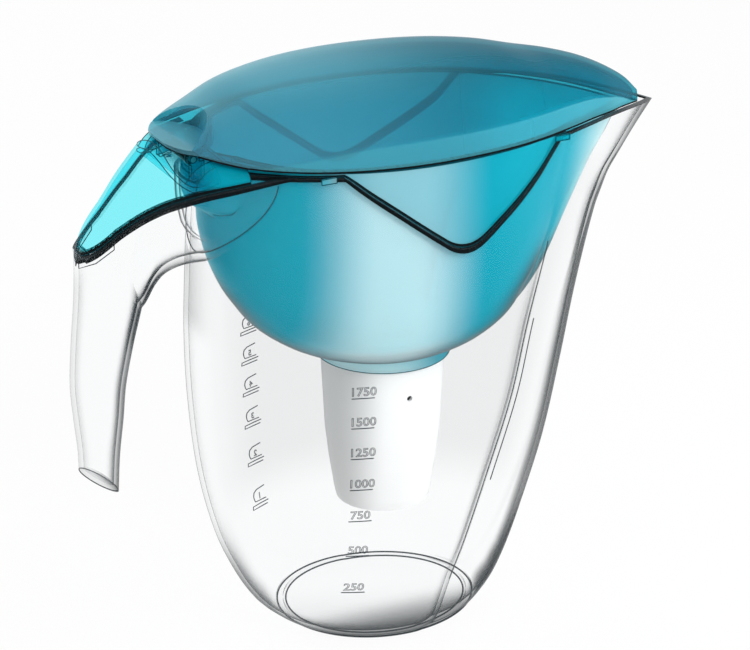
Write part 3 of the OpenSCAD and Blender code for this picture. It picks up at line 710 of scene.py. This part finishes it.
def seams(shape):
    """Dark lines of painted shade along the spout's folds, round the handle's root and its end,
    and by its clips.
    """
    j = shape.jug
    lines = []
    for side in (-1, 1):
        fold = []
        for z in spread(26.0, 188.0, 2.5):
            s = shape.body(z, 0.3)
            x = fold_x(s)
            fold.append((x, side * half_width(s, x), z))
        lines.append((fold, False))
        lines.append(([(x + 4.2, side * half_width(shape.body(z, 0.3), x + 4.2), z)
                       for x, _, z in fold if 72 < z < 152], False))
        clip = [(x, side * (shape.outline(x) - 0.2), shape.rim(x) - low)
                for x, low in ((-146.0, 2.6), (-146.0, 5.0), (-141.0, 5.0), (-133.5, 4.8),
                               (-133.5, 2.4))]
        lines.append((clip, False))
    arc = []
    for z in spread(j.rim - 46.8, j.rim - 5.0, 1.2):
        s = shape.body(z)

        def apart(x):
            return root_half(shape, x, z, j.wall) - half_width(s, x)

        x = crossing(apart, -116.0, -58.0)
        arc.append((x, half_width(s, x), z))
    lines.append(([(x, -y, z) for x, y, z in reversed(arc)] + arc, False))
    end = []
    a, b, mid = shape.grip(END_Z, 0.35)
    for k in (2 * math.pi * i / 72 for i in range(72)):
        x = mid + a * math.cos(k)
        end.append((x, b * math.sin(k),
                    END_Z + 0.4 - (x - END_LEAD + j.reach) * math.tan(END_SLOPE)))
    lines.append((end, True))
    return lines


def foot_rings(shape):
    """Dark rings of painted shade round the foot's outer and inner edges."""
    return [(section(shape.body(0.0, 0.4), 0.4), True),
            (section(shape.body(0.0, 4.6), 0.4), True)]


# ---- materials ----


class Wire:
    """A shader socket that works in Python expressions."""

    def __init__(self, paint, socket):
        self.paint, self.socket = paint, socket

    def _math(self, operation, *values):
        return self.paint.node("ShaderNodeMath", {"operation": operation}, *values)

    def __add__(self, other):
        return self._math("ADD", self, other)

    def __sub__(self, other):
        return self._math("SUBTRACT", self, other)

    def __rsub__(self, other):
        return self._math("SUBTRACT", other, self)

    def __mul__(self, other):
        return self._math("MULTIPLY", self, other)

    def __pow__(self, other):
        return self._math("POWER", self, other)

    def rise(self, low, high):
        """0 at low, 1 at high, and smooth between them."""
        return self.paint.node("ShaderNodeMapRange", {"interpolation_type": "SMOOTHSTEP"},
                               self, low, high, 0.0, 1.0)

    def fall(self, low, high):
        return 1 - self.rise(low, high)

    def window(self, a, b, c, d):
        """1 from b to c, and 0 before a and after d."""
        return self.rise(a, b) * self.fall(c, d)


class Paint:
    """A node material, or a world, that is made in a few lines."""

    def __init__(self, name, kind="materials"):
        self.data = getattr(bpy.data, kind).new(name)
        self.data.use_nodes = True
        self.tree = self.data.node_tree
        self.tree.nodes.clear()

    def node(self, kind, settings, *values, out=0, **sockets):
        """A node with its settings, its inputs by place or by name, and one output."""
        n = self.tree.nodes.new(kind)
        for key, value in settings.items():
            if key == "stops":
                ramp = n.color_ramp
                for i, (at, rgb) in enumerate(value):
                    stop = ramp.elements[i] if i < 2 else ramp.elements.new(at)
                    stop.position, stop.color = at, (*rgb, 1)
            else:
                setattr(n, key, value)
        given = dict(enumerate(values))
        given.update({k.replace("_", " "): v for k, v in sockets.items()})
        for key, value in given.items():
            socket = n.inputs[key]
            if isinstance(value, Wire):
                self.tree.links.new(value.socket, socket)
            elif value is not None:
                if hasattr(value, "__len__") and len(value) == 3 and socket.type == "RGBA":
                    value = (*value, 1)
                socket.default_value = value
        return Wire(self, n.outputs[out]) if n.outputs else None

    def facing(self):
        """0 where the surface faces the eye and 1 at its limb."""
        return self.node("ShaderNodeLayerWeight", {}, 0.5, out="Facing")

    def place(self):
        return self.node("ShaderNodeTexCoord", {}, out="Object")

    def noise(self, scale, detail=2.0, rough=0.5):
        return self.node("ShaderNodeTexNoise", {}, Vector=self.place(), Scale=scale,
                         Detail=detail, Roughness=rough)

    def blend(self, share, a, b):
        """A colour between a and b."""
        return self.node("ShaderNodeMix", {"data_type": "RGBA"}, share, *[None] * 5, a, b, out=2)

    def mix(self, share, a, b):
        return self.node("ShaderNodeMixShader", {}, share, a, b)

    def finish(self, shader, kind="Material"):
        self.node("ShaderNodeOutput" + kind, {}, shader)
        return self.data


class Spot:
    """A surface point: its place in the frame, and f, how far it turns from the eye."""

    def __init__(self, paint):
        self.f = paint.facing()
        self.x, self.y, self.z = (paint.node("ShaderNodeSeparateXYZ", {}, paint.place(), out=axis)
                                  for axis in "XYZ")
        self.off = paint.node("ShaderNodeMath", {"operation": "ABSOLUTE"}, self.y)


def see_through(name, glow, body, limb, shine, density, roughness=0.04, soft=0.35, line=0.55,
                veil=None, pale=None, deep=None):
    """Clear or tinted plastic, which shows its body softly towards its limb and as a line there.
    On clear plastic this is painted shade; on tinted plastic it is partly the deeper tint of a
    slanting path, partly painted shade.

    shine: how strongly it reflects at the handle and at the spout.
    veil: how much more of the body shows at a spot, as painted light and shade.
    pale, deep: colours of painted light and shade laid over the body, each with where it shows.
    """
    p = Paint(name)
    spot = Spot(p)
    # painted shade: the body shows softly towards the limb and as a dark line at the limb
    share = spot.f.rise(*limb) * soft + spot.f.rise(0.88, 0.985) * line + density
    tone = body
    for patch in (pale, deep):
        if patch:
            tone = p.blend(patch[1](spot), tone, patch[0])
    if veil:
        share = share + veil(spot)
    bump = p.node("ShaderNodeBump", {}, Strength=0.015, Distance=0.0004, Height=p.noise(60.0))
    clear = p.node("ShaderNodeBsdfTransparent", {}, glow)
    solid = p.node("ShaderNodeBsdfPrincipled", {}, Base_Color=tone, Roughness=0.3,
                   Specular_IOR_Level=0.04)
    gloss = p.node("ShaderNodeBsdfGlossy", {}, Color=(1, 1, 1), Roughness=roughness, Normal=bump)
    mirror = spot.f ** 5 * 0.96 + 0.04
    along = spot.x.rise(-0.08, 0.05) * (shine[1] - shine[0]) + shine[0]
    return p.finish(p.mix(share, p.mix(mirror * along, clear, gloss), solid))


def plain(name, colour, roughness, grain=0.0, scale=2500.0, speckle=0.0, shade=None):
    """Opaque plastic, rubber or granules with a fine surface, darker where shade says."""
    p = Paint(name)
    n = p.noise(scale, 4.0, 0.6)
    dark = tuple(c * 0.35 for c in colour)
    tone = p.blend(n * speckle, colour, dark) if speckle else colour
    if shade:
        tone = p.blend(shade(Spot(p)), tone, dark)
    bump = p.node("ShaderNodeBump", {}, Strength=grain, Distance=0.0005, Height=n)
    rough = (n - 0.5) * 0.12 + roughness
    return p.finish(p.node("ShaderNodeBsdfPrincipled", {}, Base_Color=tone, Roughness=rough,
                           Normal=bump))


def traced(v, low, high, where):
    """The length in m that where gives for v, between low and high in mm, as a wire."""
    count, scale = 30, 3.5  # a ramp holds 32 stops, each from 0 to 1
    stops = [(i / count, (where(low + (high - low) * i / count) * MM * scale,) * 3)
             for i in range(count + 1)]
    share = (v - low * MM) * (1 / ((high - low) * MM))
    return v.paint.node("ShaderNodeValToRGB", {"stops": stops}, share) * (1 / scale)


def clear_painted_shade(spot):
    """Painted shade on the clear plastic: darker along the nose and the folds, low down, under the
    arch and at the rear wall.
    """
    shape, f, x, z = Shape(bpy.context.scene), spot.f, spot.x, spot.z
    foot = z.fall(0.006, 0.05) * 0.75
    base = z.fall(0.004, 0.016) * spot.y.fall(-0.04, -0.01) * 0.45
    wall = x.window(-0.099, -0.096, -0.09, -0.086) * z.rise(0.175, 0.19)
    arch = x.window(-0.13, -0.12, -0.1, -0.08) * z.window(0.15, 0.165, 0.195, 0.205)
    grip_front = traced(z, 70, 230, lambda h: shape.grip(h)[2] + MID_X + 160) - 0.16
    front = (x - grip_front).rise(-0.001, 0.008)
    grip = x.fall(-0.11, -0.1) * z.fall(0.185, 0.2) * (front * 0.5 + 0.1)
    nose = (traced(z, 0, 250, lambda h: slant_reach(shape.body(h)))
            - x * SLANT[0] - spot.off * SLANT[1])
    width = z * 0.029 + z.rise(0.15, 0.2) * 0.006 + 0.0025
    band = nose.fall(-0.0005, width) * f.rise(0.28, 0.53) * (z * 0.9 + 0.76)
    fold = x - traced(z, 0, 250, lambda h: fold_x(shape.body(h)) + MID_X)
    crease = (fold.window(-0.013, -0.001, -0.001, 0.0015) * 0.2
              + fold.window(-0.0022, -0.0008, 0.0, 0.0008) * 0.4)
    crease = crease * z.window(0.02, 0.045, 0.15, 0.2)
    far = spot.y.rise(0.0, 0.02) * x.rise(-0.07, -0.03) * z.window(0.03, 0.06, 0.2, 0.21) * 0.07
    return (f.rise(0.5, 1.0) * foot + f.rise(0.25, 0.75) * grip
            + f.rise(0.3, 0.8) * arch * 0.5 + f.rise(0.7, 0.9) * wall * 0.9
            + base + band + crease + far)


def rim_painted_shade(spot):
    """Painted shade, nearly black, but faint on the handle's far edge, where no light is bent
    away.
    """
    return 0.97 - spot.y.rise(-0.004, 0.004) * spot.x.fall(-0.1, -0.085) * 0.87


def bowl_middle(spot):
    """The lit middle of the bowl's near side, and its front."""
    shape, x = Shape(bpy.context.scene), spot.x
    panel = spot.z - traced(x, -45, 75, lambda v: shape.top(v - MID_X))
    middle = (x.window(-0.058, -0.024, -0.008, 0.031) * spot.y.fall(-0.015, 0.015)
              * (panel.rise(0.0, 0.001) * -0.5 + 1))
    return middle + x.rise(0.08, 0.115)


def bowl_limb_shade(spot):
    """Painted shade on the bowl's underside, where it turns from the eye."""
    return spot.f.rise(0.5, 0.93) * spot.x.rise(-0.09, -0.07) * spot.z.fall(0.17, 0.19)


def cyan_painted_shade(spot):
    """Painted shade on the hopper: deeper in the bowl, and clear over the handle and at the lip.
    """
    inside = spot.x.rise(-0.1, -0.088)
    front = spot.x.rise(0.085, 0.115) * 0.3
    return (inside * spot.x.fall(0.06, 0.115) * 0.5 + front
            + spot.f.rise(0.4, 0.98) * (inside * 0.36 + 0.04))


def lid_rear(spot):
    """The lit rear of the lid."""
    return spot.x.fall(-0.07, 0.07)


def lid_skirt_light(spot):
    """Painted light: the lid's pale skirt, low on its sides."""
    shape = Shape(bpy.context.scene)
    over = spot.z - traced(spot.x, -110, 142,
                           lambda x: shape.lid_edge(x - MID_X) + curve(SKIRT, x - MID_X))
    return over.fall(-0.0004, 0.0004)


def can_shade(spot):
    """The can's shaded side, towards the handle."""
    return spot.x.fall(-0.021, -0.003) * 0.6 + spot.f.rise(0.7, 1.0) * 0.25


@functools.cache
def clear_pair():
    """The clear plastic, with painted shade, and its cut edge, painted dark as painted shade."""
    j = bpy.context.scene.pitcher_jug
    return (see_through("clear_plastic", tuple(j.tint), tuple(j.edge), (0.66, 0.97), (0.15, 0.1),
                        0.0, soft=0.12, veil=clear_painted_shade),
            see_through("clear_edge_shade", (0.5, 0.54, 0.56), tuple(j.edge), (0.2, 1.0),
                        (0.4, 0.4), 0.3))


@functools.cache
def cyan_pair():
    """The hopper's plastic, with painted light and shade, and its cut edge, painted darker as
    painted shade.
    """
    h = bpy.context.scene.pitcher_hopper
    return (see_through("hopper_plastic", tuple(h.glow), tuple(h.body), (0.4, 0.98),
                        (0.12, 0.04), 0.0, 0.08, soft=0.0, line=0.4, veil=cyan_painted_shade,
                        pale=(tuple(h.pale), bowl_middle), deep=((0.02, 0.07, 0.09), bowl_limb_shade)),
            see_through("hopper_edge_shade", (0.1, 0.45, 0.52), (0.0, 0.06, 0.08), (0.1, 1.0),
                        (0.4, 0.4), 0.4))


@functools.cache
def teal_pair():
    """The lid's plastic, with painted light and shade, and its cut edge, painted darker as painted
    shade.
    """
    d = bpy.context.scene.pitcher_lid
    return (see_through("lid_plastic", tuple(d.glow), tuple(d.body), (0.25, 0.95), (0.7, 0.1),
                        0.19, 0.14, soft=0.55, pale=(tuple(d.pale), lid_rear),
                        deep=((0.1, 0.46, 0.55), lid_skirt_light),
                        veil=lambda spot: lid_skirt_light(spot) * 0.16),
            see_through("lid_edge_shade", (0.5, 0.88, 0.92), (0.0, 0.2, 0.28), (0.3, 1.0),
                        (0.3, 0.3), 0.1))


@functools.cache
def rim_shade_line():
    """Painted shade: the dark line that a thick clear edge shows."""
    return see_through("rim_shade_line", (0.93, 0.98, 0.98), (0.003, 0.005, 0.006), (0.0, 1.0),
                       (0.1, 0.1), 0.0, soft=0.0, line=0.0, veil=rim_painted_shade)


def shade_and_mark_line(grey):
    """A thin grey line: painted shade along a moulded edge, and the volume scale's moulded marks.
    """
    return see_through("shade_and_mark_line", (0.45, 0.48, 0.5), (grey * 0.4, grey * 0.45, grey * 0.5),
                       (0.3, 1.0), (0.5, 0.5), 0.45)


def white_floor():
    """White to the eye, with the object's soft shadow."""
    p = Paint("floor_white")
    lit = p.node("ShaderNodeBsdfDiffuse", {}, Color=(0.9, 0.9, 0.9))
    glow = p.node("ShaderNodeEmission", {}, Color=(1, 1, 1), Strength=1.0)
    return p.finish(p.mix(0.93, lit, glow))


def white_world(scene):
    """Plain light on the object, and white behind it."""
    w = Paint("studio", "worlds")
    camera, glossy, through = (w.node("ShaderNodeLightPath", {}, out=ray) for ray in (
        "Is Camera Ray", "Is Glossy Ray", "Is Transmission Ray"))
    seen = w.node("ShaderNodeMath", {"operation": "MAXIMUM"}, camera, glossy)
    seen = w.node("ShaderNodeMath", {"operation": "MAXIMUM"}, seen, through)
    dim, bright = (w.node("ShaderNodeBackground", {}, (1, 1, 1), power) for power in (0.55, 1.0))
    scene.world = w.finish(w.mix(seen, dim, bright), "World")


# ---- operators ----


class PITCHER_OT_jug(bpy.types.Operator):
    """Models the clear jug with its spout, foot and hollow handle"""

    bl_idname = "pitcher.jug"
    bl_label = "Jug"

    def execute(self, context):
        shape = Shape(context.scene)
        j, pair = shape.jug, clear_pair()
        jug = Moulding(vessel(shape, 0.0, j.foot, 254.0), pair).add(handle(shape, 0.0))
        jug.clip(under(shape.top), finish=1)
        foot, inner = shape.body(0.0), shape.body(0.0, 3.2)
        jug.add(skin([section(foot, z) for z in (0.0, j.foot + 0.3)]))
        jug.cut(vessel(shape, j.wall, j.foot + j.floor, 258.0))
        jug.cut(skin([section(inner, z) for z in (-1.0, j.foot)]))
        jug.cut(handle(shape, j.wall).cut(vessel(shape, 0.4, j.foot, 262.0)))
        jug.cut(block((-111, -28, j.rim - 10), (-81, 28, j.rim + 20)), finish=1)
        # painted shade: dark lines along the folds, the handle's root and end, and round the foot
        edges = joined([beads(seams(shape), 0.26, shade_and_mark_line(0.1)),
                        beads(foot_rings(shape), 0.4, shade_and_mark_line(0.06))])
        # painted shade: a dark strip down from the rim, under a thin lip of the cut-edge finish
        band = jug.split(under(lambda x: shape.top(x) - curve(STRIP, x)))
        lip = band.split(under(lambda x: shape.top(x) - LIP))
        settle(jug.obj, "jug_clear", "jug_body", ("jug", "jug_cup", "jug_handle"))
        settle(coat(lip, pair[1]), "jug_lip", "jug_body")
        settle(coat(band, rim_shade_line()), "jug_rim_shade", "jug_body")
        settle(edges, "jug_shade_lines", "jug_body")
        return {"FINISHED"}


class PITCHER_OT_scale(bpy.types.Operator):
    """Raises the volume scale on both sides of the jug"""

    bl_idname = "pitcher.scale"
    bl_label = "Volume scale"

    def execute(self, context):
        shape = Shape(context.scene)
        grey = shade_and_mark_line(0.16)

        def wall(x, z, side, out):
            return (x, side * (half_width(shape.body(z), x) + out), z)

        ticks = []
        for z, _ in MARKS:
            for at, side, line in ((NEAR_MARKS, -1, [(u, 0) for u in spread(-5.0, 5.0, 1.0)]),
                                   (FAR_MARKS, 1, CUP), (FAR_MARKS, 1, UNDERLINE)):
                ticks.append(([wall(at + u, z + v, side, 0.1) for u, v in line], False))
        marks = [beads(ticks, 0.26, grey)]
        for i, (z, number) in enumerate(MARKS):
            for words, side, size, at in ((number, -1, 5.9, NEAR_MARKS),
                                          (str(i + 1), 1, 4.0, FAR_MARKS)):
                text = bpy.data.curves.new("mark", "FONT")
                text.body, text.size, text.align_x = words, size, "CENTER"
                text.resolution_u, text.fill_mode, text.bevel_depth = 3, "NONE", 0.15
                text.bevel_resolution = 1
                mark = meshed(text, grey)
                for v in mark.data.vertices:
                    u, h, out = v.co
                    v.co = wall(at - side * u, z + 1.3 + (1.0 if side > 0 else 0.0) + h, side,
                                0.05 + out)
                marks.append(mark)
        settle(joined(marks), "volume_scale", "jug_body")
        return {"FINISHED"}


class PITCHER_OT_hopper(bpy.types.Operator):
    """Models the hopper with its side panels, its handle cover and the cartridge socket"""

    bl_idname = "pitcher.hopper"
    bl_label = "Hopper"

    def execute(self, context):
        shape = Shape(context.scene)
        h, j, pair = shape.hopper, shape.jug, cyan_pair()
        base, hinge = shape.floor_z(), shape.hinge()
        panels = Moulding(vessel(shape, 0.6, base, 257.0), pair)
        panels.clip(block((-98, -90, base + 20), (73, 90, 300)))
        panels.cut(under(shape.top, h.gap), finish=1)
        panels.add(cover(shape, 0.0)).clip(under(shape.lid_edge, -0.4), finish=1)
        # painted shade: a dark strip along the panels, just over the jug's top
        strip = panels.copy().clip(under(lambda x: shape.top(x) + h.gap + curve(STRIP, x, 2)))
        strip.cut(vessel(shape, j.wall, base, 262.0), cover(shape, 1.8))
        strip.obj.data.transform(Matrix.Scale(1.0005, 4, (0, 1, 0)))  # clear of the panels
        piece = Moulding(bowl(shape, 0.0, base, 256.0), pair)
        piece.clip(under(shape.lid_edge, -0.4), finish=1).add(panels)
        for x in (-52.5, 66.0):
            for side in (-1, 1):
                y = side * half_width(shape.body(j.rim), x + 4)
                piece.add(block((x, y + side * 0.4, shape.rim(x) - 1.9),
                                (x + 7, y + side * 1.3, shape.rim(x) + 0.6)))
        piece.cut(bowl(shape, h.wall, base + h.wall, 260.0))
        piece.cut(Moulding(cover(shape, h.wall), pair).cut(bowl(shape, 0.4, base, 262.0)))
        trough = Moulding(drum(12.4, -29.0, 29.0, hinge, 128, "Y"), pair)
        piece.add(trough.clip(cover(shape, 0.0), under(shape.lid_edge, -0.4)))
        radius = context.scene.pitcher_cartridge.radius + 0.3
        piece.add(drum(radius + 2, h.socket, base + 1.0, (CARTRIDGE_X, 0.0)))
        piece.cut(drum(radius, h.socket - 1, base + h.wall + 1, (CARTRIDGE_X, 0.0)),
                  drum(10.4, -27.0, 27.0, hinge, 128, "Y"))
        for side in (-1, 1):
            piece.add(drum(BARREL, *sorted((side * 17.0, side * 20.0)), hinge, 48, "Y"),
                      block((hinge[0] - 1, side * 17, hinge[1] - 11.2),
                            (hinge[0] + 5, side * 20, hinge[1] - 1.0)))
        piece.cut(drum(PIN, -21, 21, hinge, 48, "Y"))
        # painted shade: dark beads along the hopper's sharp edges
        edges = creases(piece.obj, 34, 0.22, see_through(
            "hopper_crease_shade", (0.2, 0.5, 0.55), (0.0, 0.09, 0.12), (0.3, 1.0), (0.5, 0.5), 0.5))
        piece.cut(strip.copy())
        settle(piece.obj, "hopper_cyan", "hopper_unit", ("hopper", "hopper_top"))
        settle(coat(strip, rim_shade_line()), "hopper_rim_shade", "hopper_unit")
        settle(edges, "hopper_shade_lines", "hopper_unit")
        return {"FINISHED"}


class PITCHER_OT_lid(bpy.types.Operator):
    """Models the domed flip lid with its thumb scoop and hinge barrel"""

    bl_idname = "pitcher.lid"
    bl_label = "Lid"

    def execute(self, context):
        shape = Shape(context.scene)
        lid, pair, hinge = shape.lid, teal_pair(), shape.hinge()
        lip, at = shape.lid_edge(-106), (-84 - lid.scoop, 0.0)
        inner = Moulding(dome(shape, lid.wall), pair).cut(drum(lid.scoop + lid.wall, 0, 400, at))
        piece = Moulding(dome(shape, 0.0), pair).cut(inner, drum(lid.scoop, lip + 1.8, 400, at))
        piece.cut(drum(lid.scoop + lid.wall + 1, 0, lip, at), finish=1)
        piece.add(drum(BARREL, -16.7, 16.7, hinge, 48, "Y"))
        piece.cut(drum(PIN + PLAY, -20, 20, hinge, 48, "Y"))
        # painted shade: the lid's band up to 0.75 mm over its lower edge is painted dark
        upper = piece.split(under(shape.lid_edge, 0.75))
        settle(upper.obj, "lid_teal", "lid_unit", ("lid",), 26)
        settle(coat(piece, rim_shade_line()), "lid_rim_shade", "lid_unit")
        return {"FINISHED"}


class PITCHER_OT_cartridge(bpy.types.Operator):
    """Gives the cartridge, its filling and the hinge pin their finishes"""

    bl_idname = "pitcher.cartridge"
    bl_label = "Cartridge"

    def execute(self, context):
        white = tuple(context.scene.pitcher_cartridge.white)
        shell = plain("cartridge_white", white, 0.42, 0.06, shade=can_shade)
        mesh = plain("screen_mesh", (0.8, 0.8, 0.78), 0.7, 0.5, 5200.0, 0.3)
        finishes = {
            "cartridge_body": shell,
            "cartridge_cap": shell,
            "cartridge_seal": plain("seal_rubber", (0.7, 0.73, 0.75), 0.6, 0.1),
            "inlet_screen": mesh,
            "outlet_screen": mesh,
            "carbon_bed": plain("carbon", (0.02, 0.02, 0.022), 0.6, 1.0, 900.0, 0.6),
            "felt_disc": plain("felt", (0.72, 0.7, 0.65), 0.95, 0.8, 3000.0, 0.2),
            "resin_bed": plain("resin", (0.5, 0.3, 0.1), 0.45, 1.0, 1100.0, 0.5),
            "hinge_pin": plain("hinge_plastic", (0.02, 0.24, 0.3), 0.3, 0.05),
        }
        for node, finish in finishes.items():
            mesh_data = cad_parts[node].data
            mesh_data.materials.clear()
            mesh_data.materials.append(finish)
        return {"FINISHED"}


class PITCHER_OT_stage(bpy.types.Operator):
    """Adds the floor, the lamps, the world and the camera"""

    bl_idname = "pitcher.stage"
    bl_label = "Stage"

    def execute(self, context):
        scene = context.scene
        scene.view_settings.view_transform = "Standard"
        scene.cycles.transparent_max_bounces = 48
        scene.cycles.max_bounces = 16
        floor = draft(block((-3000, -3000, -2), (3000, 3000, -0.02)), white_floor())
        floor.name = "floor"
        floor.data.transform(Matrix.Scale(MM, 4))
        white_world(scene)
        for name, (place, size, power) in LAMPS.items():
            lamp = bpy.data.lights.new(name, "AREA")
            lamp.shape, lamp.energy = "RECTANGLE", power
            lamp.size, lamp.size_y = size
            aimed(name, lamp, Vector(place), LIT_AT).visible_glossy = False
        place_camera(scene)
        return {"FINISHED"}


def aimed(name, data, place, target):
    """A lamp or camera at a place, turned towards a target."""
    obj = placed(data, name)
    obj.location, obj.rotation_mode = place, "QUATERNION"
    obj.rotation_quaternion = (target - place).to_track_quat("-Z", "Y")
    return obj


def place_camera(scene):
    data = bpy.data.cameras.new("camera")
    data.lens, data.sensor_width = LENS, 36.0
    turn, tilt, target = math.radians(TURN), math.radians(TILT), Vector(LOOK_AT) * MM
    back = Vector((math.sin(turn) * math.cos(tilt), -math.cos(turn) * math.cos(tilt),
                   math.sin(tilt)))
    scene.camera = aimed("camera", data, target + back * AWAY, target)


class PITCHER_PT_panel(bpy.types.Panel):
    """Lists the steps that build the pitcher"""

    bl_idname = "PITCHER_PT_panel"
    bl_label = "Pitcher"
    bl_space_type = "VIEW_3D"
    bl_region_type = "UI"
    bl_category = "Pitcher"

    def draw(self, context):
        for step in STEPS:
            self.layout.operator(step.bl_idname)


STEPS = (PITCHER_OT_jug, PITCHER_OT_scale, PITCHER_OT_hopper, PITCHER_OT_lid, PITCHER_OT_cartridge,
         PITCHER_OT_stage)
GROUPS = {"pitcher_jug": JugSizes, "pitcher_hopper": HopperSizes, "pitcher_lid": LidSizes,
          "pitcher_cartridge": CartridgeSizes}


def register():
    for cls in (*GROUPS.values(), *STEPS, PITCHER_PT_panel):
        bpy.utils.register_class(cls)
    for name, group in GROUPS.items():
        setattr(bpy.types.Scene, name, PointerProperty(type=group))


def unregister():
    for name in GROUPS:
        delattr(bpy.types.Scene, name)
    for cls in (PITCHER_PT_panel, *reversed(STEPS), *reversed(tuple(GROUPS.values()))):
        bpy.utils.unregister_class(cls)


def main():
    register()
    for step in STEPS:
        group, name = step.bl_idname.split(".")
        getattr(getattr(bpy.ops, group), name)()


if __name__ == "__main__":
    main()
